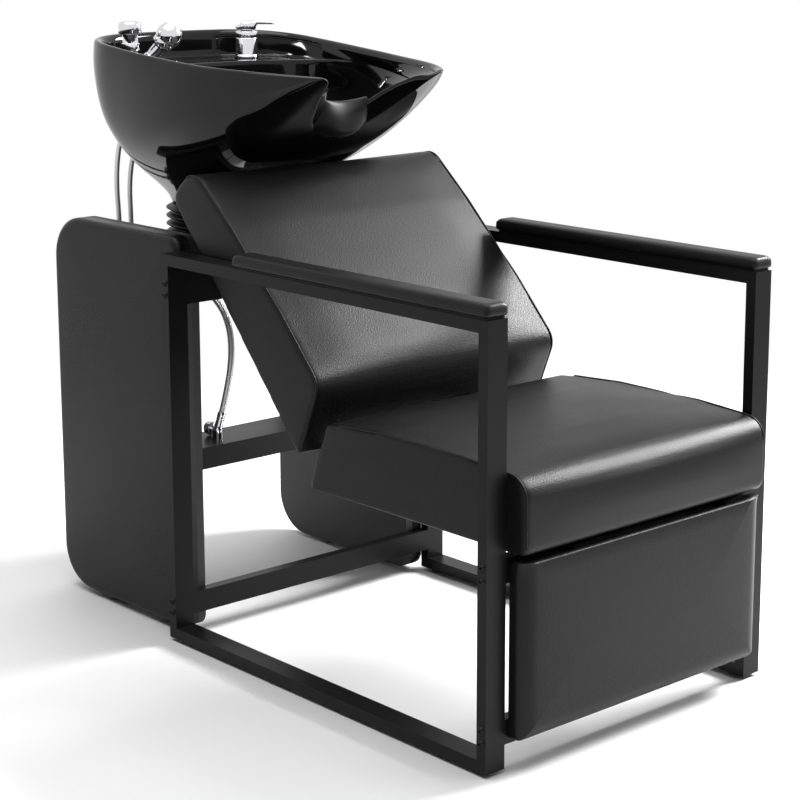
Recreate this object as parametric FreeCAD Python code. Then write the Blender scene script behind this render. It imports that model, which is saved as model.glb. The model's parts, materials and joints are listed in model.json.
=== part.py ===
"""Salon backwash unit: tube-framed recliner chair with a tilting basin behind it. Millimetres, +Z up.

The sitter faces -Y. Lengths along Y are measured from the front of the tube frame and the whole
part is centred on its footprint when it is written.
"""
import FreeCAD
import Part
import math
import os

V = FreeCAD.Vector

# Tube frame
frame_width = 650.0
frame_length = 820.0
frame_height = 700.0
tube_wide = 40.0
tube_deep = 20.0
tube_wall = 2.0
foot_height = 6.0
foot_radius = 14.0
foot_stem_radius = 5.0
foot_inset = 30.0
low_tube_low = 45.0
high_tube_low = 614.0
high_tube_tall = 60.0
end_plug = 24.0

# Frame bolts
bolt_radius = 3.0
bolt_hole_radius = 3.2
bolt_head_radius = 6.5
bolt_head_height = 4.0
bolt_length = 58.0
bolt_spacing = 21.0

# Rear side panels
panel_inset = 30.0
panel_thick = 50.0
panel_board_thick = 16.0
panel_length = 402.0
panel_top = 729.0
panel_rear_radius = 80.0
panel_front_radius = 25.0
panel_edge_round = 12.0
panel_foot_radius = 14.0
panel_foot_height = 8.0
panel_foot_front = 90.0
panel_foot_rear = 262.0

# Plumbing beam and basin carrier between the panels
beam_deep = 98.0
beam_tall = 40.0
beam_low = 302.0
beam_wall = 2.5
carrier_gap = 130.0
carrier_deep = 220.0
carrier_drop = 89.0
carrier_tall = 40.0
carrier_wall = 3.0
carrier_hole_radius = 44.0

# Arm pads
arm_pad_wide = 46.0
arm_pad_thick = 22.0
arm_pad_short = 208.0
arm_pad_round = 9.0
arm_plate_thick = 2.5
arm_plate_inset = 5.0

# Seat and back
cushion_gap = 47.0
seat_low = 346.0
seat_tall = 120.0
seat_reach = 36.0
seat_front_round = 38.0
seat_low_round = 14.0
seat_rear_round = 7.0
seat_rear_gap = 342.0
seat_rear_slant = 48.0
seat_crown = 9.0
board_thick = 12.0
board_inset = 22.0
piping_radius = 3.0
back_gap = 24.0
back_lift = 48.0
back_run = 354.0
back_rise = 406.0
back_top_run = 70.0
back_top_rise = 53.0
back_low_run = 54.0
back_low_rise = 132.0
back_low_round = 5.0
back_rear_round = 28.0
back_top_round = 40.0
back_lumbar_round = 34.0
back_crown = 8.0

# Brackets under the seat and behind the back
bracket_wide = 40.0
bracket_thick = 5.0
bracket_place = 200.0
bracket_rise = 300.0
stay_place = 140.0
stay_wide = 30.0

# Leg rest
leg_side_gap = 46.0
leg_thick = 35.0
leg_gap = 1.5
leg_top = 337.5
leg_low = 52.0
leg_front_round = 14.0
leg_top_round = 8.0
leg_low_round = 2.5
leg_turn_round = 17.4
leg_board_low = 64.0
leg_board_high = 286.0
hinge_place = 180.0
hinge_wide = 24.0
hinge_side_gap = 1.0
hinge_pin_radius = 5.0
hinge_pin_clear = 0.05
hinge_hub_radius = 10.0
hinge_swing_gap = 1.5
hinge_pin_grip = 12.0

# Basin outline and depth
basin_half = 241.0
basin_ahead = 463.0
basin_behind = 190.0
basin_tall = 277.0
rim_forward = 100.0
rim_slope = 0.085
rim_wall = 14.0
rim_over = 4.0
rim_inset = 24.0
deck_drop = 25.0
deck_thick = 12.0
deck_behind = 44.0
bowl_foot = 32.0
pocket_side = 36.0
pocket_inset = 32.0
neck_drop = 76.0
neck_half_low = 55.0
neck_half_high = 142.0
neck_deep = 168.0
notch_margin = 40.0
wing_half = 138.0
lip_deep = 113.0
neck_rest_half = 58.0
neck_rest_thick = 16.0
neck_rest_behind = 38.0
neck_rest_tall = 47.0
neck_rest_over = 9.0
neck_rest_round = 12.0

# Basin levels from the rim down: shares of height, width, length cut off in front and behind, softness and slope
outer_levels = ((1.0, 1.0, 0.0, 0.0, 0.0, 1.0), (0.834, 0.996, 0.125, 0.0, 0.0, 0.7),
                (0.599, 0.967, 0.283, 0.053, 0.1, 0.35), (0.375, 0.851, 0.46, 0.2, 0.3, 0.0),
                (0.177, 0.656, 0.639, 0.432, 0.6, 0.0), (0.058, 0.465, 0.782, 0.632, 0.9, 0.0),
                (0.0, 0.349, 0.847, 0.789, 1.0, 0.0))
bowl_levels = ((0.812, 0.982, 0.199, 1.0, 0.15, 0.6), (0.567, 0.938, 0.359, 0.864, 0.25, 0.24),
               (0.335, 0.78, 0.531, 0.773, 0.5, 0.0), (0.139, 0.533, 0.726, 0.818, 0.8, 0.0))
collar_levels = ((0.058, 0.498, 0.747, 0.505, 1.0, 0.0), (0.177, 0.685, 0.62, 0.379, 0.7, 0.0),
                 (0.303, 0.809, 0.499, 0.242, 0.4, 0.0))
ring_outline = ((0.0, 0.0), (0.42, 0.004), (0.62, 0.03), (0.80, 0.145), (0.955, 0.355), (1.0, 0.56), (1.0, 0.70),
                (0.97, 0.82), (0.86, 0.91), (0.66, 0.965), (0.38, 0.99), (0.0, 1.0))

# Tilt joint, collar and bellows
pivot_rise = 42.0
pivot_pin_radius = 8.0
pivot_pin_clear = 0.05
cheek_place = 62.0
cheek_thick = 8.0
cheek_half = 26.0
lug_gap = 1.0
lug_thick = 10.0
tilt_plate_half = 72.0
tilt_plate_thick = 6.0
saddle_half = 84.0
saddle_thick = 8.0
saddle_rise = 24.0
bellows_radius = 118.0
bellows_inner = 106.0
bellows_wall = 2.5
bellows_ribs = 4
bellows_rise = 62.0
collar_wall = 3.0
seat_clear = 0.3

# Drain
drain_radius = 24.0
drain_tail_radius = 20.0
drain_tail_drop = 12.0
drain_tail_wall = 3.0
drain_tail_low = 590.0
drain_tail_bend = 42.0
drain_tail_reach = 118.0
drain_flange_radius = 36.0
drain_flange_thick = 3.0
strainer_radius = 30.0
strainer_thick = 3.0
strainer_seat_gap = 0.2
strainer_knob_radius = 4.0
strainer_knob_height = 12.0
strainer_slots = 8
strainer_slot_half = 2.5

# Mixer, shower and vacuum breaker
mixer_side = 134.0
mixer_inset = 82.0
mixer_base_radius = 21.0
mixer_base_height = 6.0
mixer_body_radius = 17.5
mixer_body_height = 40.0
mixer_head_height = 12.0
mixer_lever_thick = 7.0
mixer_lever_reach = 44.0
mixer_gap = 0.4
lever_turn = -45.0
lever_pin_back = 12.0
lever_pin_radius = 2.0
lever_pin_clear = 0.05
lever_knuckle_radius = 3.6
lever_knuckle_half = 5.6
lever_cheek_half = 3.2
lever_cheek_thick = 3.0
lever_notch_clear = 0.6
tail_radius = 9.0
tail_length = 34.0
nut_radius = 15.0
nut_height = 8.0
holder_side = -100.0
holder_inset = 84.0
holder_base_radius = 17.0
holder_base_height = 7.0
holder_tube_radius = 13.0
holder_bore = 9.08
holder_ball_radius = 15.5
holder_tube_length = 30.0
holder_lean = 40.0
shower_stem_radius = 9.0
shower_stem_length = 26.0
shower_ball_radius = 25.0
shower_ball_rise = 26.0
shower_face_radius = 17.0
shower_face_thick = 3.0
breaker_side = -137.0
breaker_inset = 76.0
breaker_ring = 4.0
breaker_chamfer = 2.0
breaker_body_radius = 13.0
breaker_body_height = 38.0
breaker_cap_radius = 21.0
breaker_cap_height = 24.0

# Water manifold, stop valves and hoses
manifold_side = -148.5
manifold_half = 36.0
manifold_deep = 42.0
manifold_drop = 36.0
manifold_tall = 56.0
port_radius = 9.0
port_length = 10.0
port_spread = 13.5
front_port_drop = 18.0
valve_places = (-177.0, 150.0)
valve_leans = (0.34, 0.0)
valve_behind = 46.0
valve_body_radius = 10.0
valve_post = 14.0
valve_outlet = 18.0
valve_outlet_radius = 8.0
valve_stem = 4.0
valve_knob_radius = 13.0
valve_knob_length = 12.0
hose_radius = 5.0
braid_radius = 6.0
ferrule_radius = 8.0
straight_turn = 0.001
hose_stub = 40.0
hose_bulge = (-20.0, 28.0, -70.0)
hose_arrive = (-4.0, 10.0, 90.0)
hose_steps = 4
mixer_hose_side = 12.5
mixer_hose_gap = 44.0
mixer_hose_height = 700.0
mixer_hose_ease = 90.0
mixer_hose_fall = 220.0
mixer_hose_rise = 170.0
mixer_hose_steps = 8
supply_rise = 200.0
supply_reach = 160.0
supply_steps = 8

# Derived places
half = frame_width / 2
inner = half - tube_wide
frame_top = foot_height + frame_height
rear_front = frame_length - tube_deep
panel_outer = half - panel_inset
panel_inner = panel_outer - panel_thick
panel_front = frame_length
beam_top = beam_low + beam_tall
carrier_front = frame_length + carrier_gap
carrier_rear = carrier_front + carrier_deep
carrier_low = panel_top - carrier_drop
carrier_top = carrier_low + carrier_tall
arm_pad_length = frame_length - arm_pad_short
cushion_half = half - cushion_gap
seat_top = seat_low + seat_tall
seat_front = -seat_reach
seat_tube_low = seat_low - bracket_thick - tube_wide
seat_rear_low = frame_length - seat_rear_gap
seat_rear_top = seat_rear_low - seat_rear_slant
back_low = (seat_rear_low + back_gap, seat_low + back_lift)
back_rear_top = (back_low[0] + back_run, back_low[1] + back_rise)
back_front_top = (back_rear_top[0] - back_top_run, back_rear_top[1] + back_top_rise)
back_front_low = (back_low[0] - back_low_run, back_low[1] + back_low_rise)
leg_half = half - leg_side_gap
leg_rear = -leg_gap
leg_front = leg_rear - leg_thick
leg_pivot = (leg_rear - leg_thick / 2, leg_top - leg_thick / 2)
pivot_place = (carrier_front + carrier_rear) / 2
pivot_height = carrier_top + pivot_rise
saddle_low = pivot_height + saddle_rise
basin_foot = saddle_low + saddle_thick
bellows_top = carrier_top + bellows_rise
basin_front = pivot_place - basin_ahead
basin_rear = pivot_place + basin_behind
rim_height = basin_foot + basin_tall
rim_reference = pivot_place - rim_forward
deck_height = rim_height - deck_drop
deck_front = pivot_place + deck_behind
bowl_floor = basin_foot + bowl_foot
neck_low = rim_height - neck_drop
neck_high = rim_height + rim_over
lip_front = basin_front + lip_deep
mixer_place = (mixer_side, basin_rear - mixer_inset)
holder_place = (holder_side, basin_rear - holder_inset)
breaker_place = (breaker_side, basin_rear - breaker_inset)
manifold_low = carrier_low - manifold_drop
manifold_middle = carrier_rear + manifold_deep / 2
front_port_height = carrier_low - front_port_drop
valve_back = frame_length + valve_behind
centre_y = (leg_front + basin_rear) / 2


def box(x0, x1, y0, y1, z0, z1):
    return Part.makeBox(x1 - x0, y1 - y0, z1 - z0, V(x0, y0, z0))


def rod(radius, start, end):
    step = end - start
    return Part.makeCylinder(radius, step.Length, start, step)


def joined(shapes):
    result = shapes[0]
    for shape in shapes[1:]:
        result = result.fuse(shape)
    return result.removeSplitter()


def without(shape, tools):
    for tool in tools:
        shape = shape.cut(tool)
    return shape


def save(name, shape):
    """Write one node, moved so that the footprint is centred on the origin."""
    moved = shape.copy()
    moved.translate(V(0, -centre_y, 0))
    moved.exportStep(os.path.join("parts", name + ".step"))
    report = f"{name:20s} solids {len(moved.Solids)} volume {moved.Volume / 1000:9.1f} cm3 valid {moved.isValid()}"
    print(report)


def rounded(points, radii):
    """A closed wire in the YZ plane whose corners are arcs of the given radii; a radius of 0 is sharp."""
    count = len(points)
    edges = []
    spans = []
    for index in range(count):
        corner = V(0, *points[index])
        before = V(0, *points[index - 1])
        after = V(0, *points[(index + 1) % count])
        radius = radii[index]
        to_before = (before - corner).normalize()
        to_after = (after - corner).normalize()
        opening = to_before.getAngle(to_after)
        if radius == 0:
            spans.append((corner, None, corner))
            continue
        reach = radius / math.tan(opening / 2)
        inward = (to_before + to_after).normalize()
        middle = corner + inward * (radius / math.sin(opening / 2) - radius)
        spans.append((corner + to_before * reach, middle, corner + to_after * reach))
    for index in range(count):
        start, middle, end = spans[index]
        if middle is not None:
            edges.append(Part.Arc(start, middle, end).toShape())
        next_start = spans[(index + 1) % count][0]
        if (next_start - end).Length > 0.001:
            edges.append(Part.LineSegment(end, next_start).toShape())
    return Part.Wire(edges)


def prism(points, radii, x0, x1):
    """A YZ outline drawn out along X."""
    face = Part.Face(rounded(points, radii))
    face.translate(V(x0, 0, 0))
    return face.extrude(V(x1 - x0, 0, 0))


def hollow_tube(x0, x1, y0, y1, z0, z1, along, wall, closed_end=0.0):
    """A rectangular tube, open at both ends or closed at its far end."""
    shrink = {"x": (0, wall, wall), "y": (wall, 0, wall), "z": (wall, wall, 0)}[along]
    stop = {"x": (closed_end, 0, 0), "y": (0, closed_end, 0), "z": (0, 0, closed_end)}[along]
    core = box(x0 + shrink[0], x1 - shrink[0] - stop[0], y0 + shrink[1], y1 - shrink[1] - stop[1],
               z0 + shrink[2], z1 - shrink[2] - stop[2])
    return box(x0, x1, y0, y1, z0, z1).cut(core)


def bolt_places():
    """Centre heights and depths of the bolt pairs on one side frame."""
    front = tube_deep / 2
    rear = frame_length - tube_deep / 2
    centres = [(front, seat_tube_low + tube_wide / 2), (front, low_tube_low + tube_wide / 2),
               (rear, low_tube_low + tube_wide / 2), (rear, high_tube_low + high_tube_tall / 2)]
    return [(y, z + step * bolt_spacing / 2) for y, z in centres for step in (-1, 1)]


def bolt_holes():
    return [rod(bolt_hole_radius, V(side * (half + 1), y, z), V(side * (half - bolt_length - 2), y, z))
            for y, z in bolt_places() for side in (-1, 1)]


def frame_bolts():
    def one(y, z, side):
        face = side * half
        shank = rod(bolt_radius, V(face, y, z), V(face - side * bolt_length, y, z))
        dome = Part.makeCone(bolt_head_radius, bolt_head_radius * 0.6, bolt_head_height, V(face, y, z), V(side, 0, 0))
        socket = rod(bolt_radius * 0.7, V(face + side * bolt_head_height, y, z),
                     V(face + side * bolt_head_height / 3, y, z))
        return dome.cut(socket).fuse(shank).removeSplitter()
    return Part.makeCompound([one(y, z, side) for y, z in bolt_places() for side in (-1, 1)])


def legs_and_rails():
    holes = bolt_holes()
    stems = [rod(foot_stem_radius, V(side * (half - tube_wide / 2), y, 0),
                 V(side * (half - tube_wide / 2), y, foot_height + tube_wall + 1))
             for side in (-1, 1) for y in (foot_inset, frame_length - foot_inset)]
    for word, side in (("right", -1), ("left", 1)):
        x0, x1 = sorted((side * inner, side * half))
        for place, y0 in (("front", 0.0), ("rear", rear_front)):
            leg = hollow_tube(x0, x1, y0, y0 + tube_deep, foot_height, frame_top, "z", tube_wall, tube_wall)
            save(f"leg_{place}_{word}", without(leg, holes))
        arm = hollow_tube(x0, x1, tube_deep, rear_front, frame_top - tube_deep, frame_top, "y", tube_wall)
        save(f"arm_rail_{word}", arm)
        floor = hollow_tube(x0, x1, tube_deep, rear_front, foot_height, foot_height + tube_deep, "y", tube_wall)
        save(f"floor_rail_{word}", without(floor, stems))


def cross_tube(y0, low, tall):
    """A tube between the side frames with a solid plug in each end for its bolts."""
    outer = box(-inner, inner, y0, y0 + tube_deep, low, low + tall)
    core = box(-inner + end_plug, inner - end_plug, y0 + tube_wall, y0 + tube_deep - tube_wall,
               low + tube_wall, low + tall - tube_wall)
    drain = rod(bolt_radius, V(0, y0 + tube_deep / 2, low - 1), V(0, y0 + tube_deep / 2, low + tube_wall + 1))
    return without(outer, [core, drain] + bolt_holes())


def frame_feet():
    feet = []
    for side in (-1, 1):
        for y in (foot_inset, frame_length - foot_inset):
            at = V(side * (half - tube_wide / 2), y, 0)
            disc = rod(foot_radius, at, at + V(0, 0, foot_height))
            stem = rod(foot_stem_radius, at, at + V(0, 0, foot_height + tube_wall))
            feet.append(disc.fuse(stem).removeSplitter())
    return Part.makeCompound(feet)


def panel_slab(x0, x1):
    low = panel_foot_height
    rear = panel_front + panel_length
    points = [(panel_front, low), (rear, low), (rear, panel_top), (panel_front, panel_top)]
    radii = [panel_front_radius, panel_rear_radius, panel_rear_radius, panel_front_radius]
    return prism(points, radii, x0, x1)


def panel_pad(side):
    """The padded outer layer of one panel, with its outer edge rounded over."""
    split = panel_inner + panel_board_thick
    slab = panel_slab(split, panel_outer)
    rim = [edge for edge in slab.Edges if min(v.Point.x for v in edge.Vertexes) > panel_outer - 0.1]
    slab = slab.makeFillet(panel_edge_round, rim)
    return slab if side > 0 else slab.mirror(V(0, 0, 0), V(1, 0, 0))


def panel_board(side):
    slab = panel_slab(panel_inner, panel_inner + panel_board_thick)
    return slab if side > 0 else slab.mirror(V(0, 0, 0), V(1, 0, 0))


def panel_feet():
    middle = panel_outer - panel_thick / 2
    feet = []
    for side in (-1, 1):
        for y in (panel_foot_front, panel_foot_rear):
            at = V(side * middle, panel_front + y, 0)
            feet.append(rod(panel_foot_radius, at, at + V(0, 0, panel_foot_height)))
    return Part.makeCompound(feet)


def plumbing_beam():
    beam = hollow_tube(-panel_inner, panel_inner, panel_front, panel_front + beam_deep, beam_low, beam_top,
                       "x", beam_wall)
    ports = [rod(valve_body_radius - 3, V(x, valve_back, beam_top - beam_wall - 1), V(x, valve_back, beam_top + 1))
             for x in valve_places]
    return without(beam, ports)


def basin_carrier():
    tube = hollow_tube(-panel_inner, panel_inner, carrier_front, carrier_rear, carrier_low, carrier_top,
                       "x", carrier_wall)
    hole = rod(carrier_hole_radius, V(0, pivot_place, carrier_low - 1), V(0, pivot_place, carrier_top + 1))
    return tube.cut(hole)


def arm_pads():
    for word, side in (("right", -1), ("left", 1)):
        middle = side * (half - tube_wide / 2)
        low = frame_top + arm_plate_thick
        pad = box(middle - arm_pad_wide / 2, middle + arm_pad_wide / 2, 0, arm_pad_length, low, low + arm_pad_thick)
        upper = [edge for edge in pad.Edges if min(v.Point.z for v in edge.Vertexes) > low + 1]
        pad = pad.makeFillet(arm_pad_round, upper)
        plate = box(middle - arm_pad_wide / 2 + arm_plate_inset, middle + arm_pad_wide / 2 - arm_plate_inset,
                    arm_plate_inset, arm_pad_length - arm_plate_inset, frame_top, low)
        save(f"arm_pad_{word}", pad)
        save(f"arm_plate_{word}", plate)


def bowed(points, radii, first, last, crown):
    """The outline with one straight stretch bowed out by a crown at its middle third points."""
    a = V(0, *points[first])
    b = V(0, *points[last])
    along = b - a
    out = V(0, along.z, -along.y).normalize()
    extra = [a + along * share + out * crown for share in (0.3, 0.7)]
    new_points = list(points)
    new_radii = list(radii)
    new_points[first + 1:first + 1] = [(p.y, p.z) for p in extra]
    new_radii[first + 1:first + 1] = [along.Length * 0.4, along.Length * 0.4]
    return new_points, new_radii


def crowned_cushion(points, radii):
    """A boxed cushion: the crowned outline between its two sides, with its side edges eased."""
    core = prism(points, radii, -cushion_half, cushion_half)
    edges = [edge for edge in core.Edges
             if all(abs(abs(v.Point.x) - cushion_half) < 0.1 for v in edge.Vertexes)]
    return core.makeFillet(piping_radius, edges)


def seat_outline():
    points = [(seat_rear_low, seat_low), (seat_rear_top, seat_top), (seat_front, seat_top), (seat_front, seat_low)]
    radii = [seat_rear_round, seat_rear_round, seat_front_round, seat_low_round]
    return points, radii


def seat_board():
    return box(-cushion_half + board_inset, cushion_half - board_inset, seat_front + board_inset,
               seat_rear_low - board_inset, seat_low, seat_low + board_thick)


def seat_cushion():
    points, radii = seat_outline()
    points, radii = bowed(points, radii, 1, 2, seat_crown)
    return crowned_cushion(points, radii).cut(seat_board())


def back_outline():
    points = [back_low, back_rear_top, back_front_top, back_front_low]
    radii = [back_low_round, back_rear_round, back_top_round, back_lumbar_round]
    return points, radii


def back_frame():
    """The rear face of the back: its low point, direction up the slope and outward normal."""
    low = V(0, *back_low)
    up = (V(0, *back_rear_top) - low).normalize()
    return low, up, V(0, up.z, -up.y)


def back_slab(start, end, x0, x1, depth):
    """A flat piece on the rear face of the back, from start to end up the slope; depth is into the cushion."""
    low, up, normal = back_frame()
    corners = [low + up * start, low + up * end, low + up * end - normal * depth, low + up * start - normal * depth]
    return prism([(c.y, c.z) for c in corners], [0, 0, 0, 0], x0, x1)


def back_length():
    return (V(0, *back_rear_top) - V(0, *back_low)).Length


def back_board():
    return back_slab(board_inset, back_length() - board_inset, -cushion_half + board_inset,
                     cushion_half - board_inset, board_thick)


def back_cushion():
    points, radii = back_outline()
    points, radii = bowed(points, radii, 2, 3, back_crown)
    return crowned_cushion(points, radii).cut(back_board())


def seat_brackets():
    """Two bent flat bars that carry the seat from the front tube and turn up the rear of the back."""
    brackets = []
    for side in (-1, 1):
        x0 = side * bracket_place - bracket_wide / 2
        x1 = x0 + bracket_wide
        low, up, normal = back_frame()
        flat = box(x0, x1, 0, seat_rear_low + board_inset, seat_low - bracket_thick, seat_low)
        rise = back_slab(0, bracket_rise, x0, x1, -bracket_thick)
        corner = [(seat_rear_low, seat_low - bracket_thick), (seat_rear_low + board_inset + bracket_thick * 3,
                  seat_low - bracket_thick)]
        top = low + up * bracket_thick
        outer = top + normal * bracket_thick
        web = prism(corner + [(outer.y, outer.z), (top.y, top.z)], [0, 0, 0, 0], x0, x1)
        brackets.append(joined([flat, rise, web]))
    return Part.makeCompound(brackets)


def back_stays():
    """Two plates from the rear of the back to the upper rear cross tube."""
    low, up, normal = back_frame()
    middle = high_tube_low + high_tube_tall / 2
    share = (middle - low.z) / up.z
    stays = []
    for side in (-1, 1):
        x0 = side * stay_place - stay_wide / 2
        foot = back_slab(share - stay_wide, share + stay_wide, x0, x0 + stay_wide, -bracket_thick)
        edge = low + up * share
        arm = box(x0, x0 + stay_wide, edge.y, rear_front, middle - stay_wide / 2, middle + stay_wide / 2)
        behind = back_slab(share - stay_wide * 4, share + stay_wide * 4, x0, x0 + stay_wide, tube_deep * 8)
        stays.append(joined([foot, arm.cut(behind)]))
    return Part.makeCompound(stays)


def hinge_boxes(gap):
    """The notches in the top of the leg rest, one round each hinge arm."""
    y, z = leg_pivot
    reach = hinge_hub_radius + hinge_swing_gap
    return [box(side * hinge_place - hinge_wide / 2 - gap, side * hinge_place + hinge_wide / 2 + gap,
                y - reach, leg_rear + 1, z - reach, leg_top + 1) for side in (-1, 1)]


def leg_pins():
    y, z = leg_pivot
    length = hinge_wide / 2 + hinge_side_gap + hinge_pin_grip
    return [rod(hinge_pin_radius, V(side * hinge_place - length, y, z), V(side * hinge_place + length, y, z))
            for side in (-1, 1)]


def leg_board():
    return box(-leg_half + board_inset, leg_half - board_inset, leg_rear - board_thick, leg_rear,
               leg_board_low, leg_board_high)


def leg_pad():
    """The padded leg rest: eased front edges, and a round upper rear edge that clears the seat tube as it turns."""
    points = [(leg_rear, leg_low), (leg_rear, leg_top), (leg_front, leg_top), (leg_front, leg_low)]
    pad = prism(points, [leg_low_round, leg_turn_round, leg_top_round, leg_front_round], -leg_half, leg_half)
    sides = [edge for edge in pad.Edges
             if all(abs(abs(v.Point.x) - leg_half) < 0.1 and v.Point.y < leg_front + 0.5 for v in edge.Vertexes)]
    pad = pad.makeFillet(leg_top_round, sides)
    return without(pad, [leg_board()] + hinge_boxes(hinge_side_gap) + leg_pins())


def leg_hinges():
    """Fixed hinge arms on the seat tube, each with a hub round its pin."""
    y, z = leg_pivot
    arms = []
    for side in (-1, 1):
        x0 = side * hinge_place - hinge_wide / 2
        x1 = x0 + hinge_wide
        hub = rod(hinge_hub_radius, V(x0, y, z), V(x1, y, z))
        arm = box(x0, x1, y, 0, z - hinge_hub_radius * 0.8, z + hinge_hub_radius * 0.8)
        hole = rod(hinge_pin_radius + hinge_pin_clear, V(x0 - 1, y, z), V(x1 + 1, y, z))
        arms.append(joined([hub, arm]).cut(hole))
    return Part.makeCompound(arms)


def rim_level(y, height, slope):
    return height + slope * (y - rim_reference)


def basin_ring(height, wide, front, rear, soft, slope):
    """One closed level of the basin: blunt-nosed towards the front, squarish at the rear; soft turns it elliptic."""
    last = len(ring_outline) - 1
    right = []
    for index, (u, v) in enumerate(ring_outline):
        turn = math.pi * index / last
        across = (1 - soft) * u + soft * math.sin(turn)
        along = (1 - soft) * v + soft * (1 - math.cos(turn)) / 2
        y = front + along * (rear - front)
        right.append(V(across * wide, y, rim_level(y, height, slope)))
    left = [V(-p.x, p.y, p.z) for p in right[last - 1:0:-1]]
    curve = Part.BSplineCurve()
    curve.interpolate(right + left, PeriodicFlag=True)
    return Part.Wire(curve.toShape())


def outer_rings(levels):
    return [basin_ring(basin_foot + tall * basin_tall, wide * basin_half, basin_front + ahead * basin_ahead,
                       basin_rear - behind * basin_behind, soft, slope * rim_slope)
            for tall, wide, ahead, behind, soft, slope in levels]


def basin_outer():
    """The outside of the basin, lofted from the rim down to its foot."""
    return Part.makeLoft(outer_rings(outer_levels), True, False)


def basin_bowl():
    """The space inside the bowl, from above the rim down to the drain."""
    inside = basin_half - rim_wall
    deep = rim_height - bowl_floor
    drain = drain_flange_radius + neck_rest_over
    rings = [basin_ring(rim_height + rim_over, inside, basin_front + rim_inset, deck_front, 0.1, rim_slope)]
    for tall, wide, ahead, behind, soft, slope in bowl_levels:
        rings.append(basin_ring(bowl_floor + tall * deep, wide * inside, basin_front + ahead * basin_ahead,
                                pivot_place + behind * deck_behind, soft, slope * rim_slope))
    rings.append(basin_ring(bowl_floor, drain, pivot_place - drain, pivot_place + drain, 1.0, 0.0))
    return Part.makeLoft(rings, True, False)


def deck_recess():
    """The shallow tray above the deck and bowl, inside the rim."""
    inside = basin_half - rim_wall
    floor = basin_ring(deck_height, inside, basin_front + rim_inset, basin_rear - rim_wall, 0.05, 0.0)
    top = basin_ring(rim_height + rim_over, inside, basin_front + rim_inset, basin_rear - rim_wall, 0.05, rim_slope)
    return Part.makeLoft([floor, top], True, True)


def neck_notch():
    """The neck opening seen from the front: sloping sides down to the lip."""
    points = [V(-neck_half_high, 0, neck_high), V(neck_half_high, 0, neck_high),
              V(neck_half_low, 0, neck_low), V(-neck_half_low, 0, neck_low)]
    face = Part.Face(Part.makePolygon(points + points[:1]))
    face.translate(V(0, basin_front - notch_margin, 0))
    return face.extrude(V(0, neck_deep + notch_margin, 0))


def wing_gap():
    """The same opening seen from above: the wings reach past the lip on both sides."""
    front = basin_front - notch_margin
    points = [V(-wing_half, front, 0), V(wing_half, front, 0), V(neck_half_low, lip_front, 0),
              V(-neck_half_low, lip_front, 0)]
    face = Part.Face(Part.makePolygon(points + points[:1]))
    face.translate(V(0, 0, bowl_floor))
    return face.extrude(V(0, 0, neck_high - bowl_floor))


def tap_places():
    return [mixer_place, holder_place, breaker_place]


def tap_pockets():
    """Open space under the deck at the tap tails, from below."""
    pockets = []
    for low, high in ((breaker_side, holder_side), (mixer_side, mixer_side)):
        pockets.append(box(low - pocket_side, high + pocket_side, deck_front + pocket_inset, basin_rear - pocket_inset,
                           saddle_low, deck_height - deck_thick))
    return pockets


def basin():
    body = basin_outer()
    body = without(body, [deck_recess(), basin_bowl(), neck_notch(), wing_gap()] + tap_pockets())
    holes = [rod(tail_radius + seat_clear, V(x, y, deck_height - 2 * deck_thick), V(x, y, deck_height + deck_thick))
             for x, y in tap_places()]
    drain = rod(drain_radius + seat_clear, V(0, pivot_place, saddle_low), V(0, pivot_place, bowl_floor + bowl_foot))
    recess = rod(drain_flange_radius + seat_clear, V(0, pivot_place, bowl_floor - drain_flange_thick),
                 V(0, pivot_place, bowl_floor + bowl_foot))
    return without(body, holes + [drain, recess])


def neck_rest(shell):
    """A rubber pad folded over the lip of the neck notch."""
    over = neck_low + neck_rest_over
    low = neck_low - neck_rest_tall
    front = lip_front - neck_rest_thick
    rear = lip_front + neck_rest_behind
    brow = front + neck_rest_round
    points = [(rear, low), (rear, over), (brow, over), (front, (over + low) / 2), (brow, low)]
    block = prism(points, [0, neck_rest_over / 2, neck_rest_round, neck_rest_round, neck_rest_round],
                  -neck_rest_half, neck_rest_half)
    pieces = block.cut(shell).Solids
    return max(pieces, key=lambda piece: piece.Volume)


def ring_of(profile):
    """A closed outline of (radius, height) pairs turned about the tilt centre line."""
    points = [V(r, 0, z) for r, z in profile]
    face = Part.Face(Part.makePolygon(points + points[:1]))
    solid = face.revolve(V(0, 0, 0), V(0, 0, 1), 360)
    solid.translate(V(0, pivot_place, 0))
    return solid


def bellows():
    """A rubber gaiter of zigzag folds between the carrier and the collar."""
    step = (bellows_top - carrier_top) / (2 * bellows_ribs)
    outer = []
    for fold in range(2 * bellows_ribs + 1):
        radius = bellows_radius if fold % 2 else bellows_inner
        outer.append((radius, carrier_top + fold * step))
    inner_line = [(r - bellows_wall, z) for r, z in reversed(outer)]
    return ring_of(outer + inner_line)


def collar(shell):
    """The skirt that joins the bellows to the underside of the basin, following its shape upwards."""
    wide = bellows_inner
    low = bellows_top + seat_clear
    rings = [basin_ring(low, wide, pivot_place - wide, pivot_place + wide, 1.0, 0.0)] + outer_rings(collar_levels)
    skirt = Part.makeLoft(rings, True, False)
    room = rod(wide - collar_wall, V(0, pivot_place, carrier_top), V(0, pivot_place, basin_foot))
    pieces = without(skirt, [shell, room]).Solids
    return max(pieces, key=lambda piece: piece.Volume)


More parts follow.
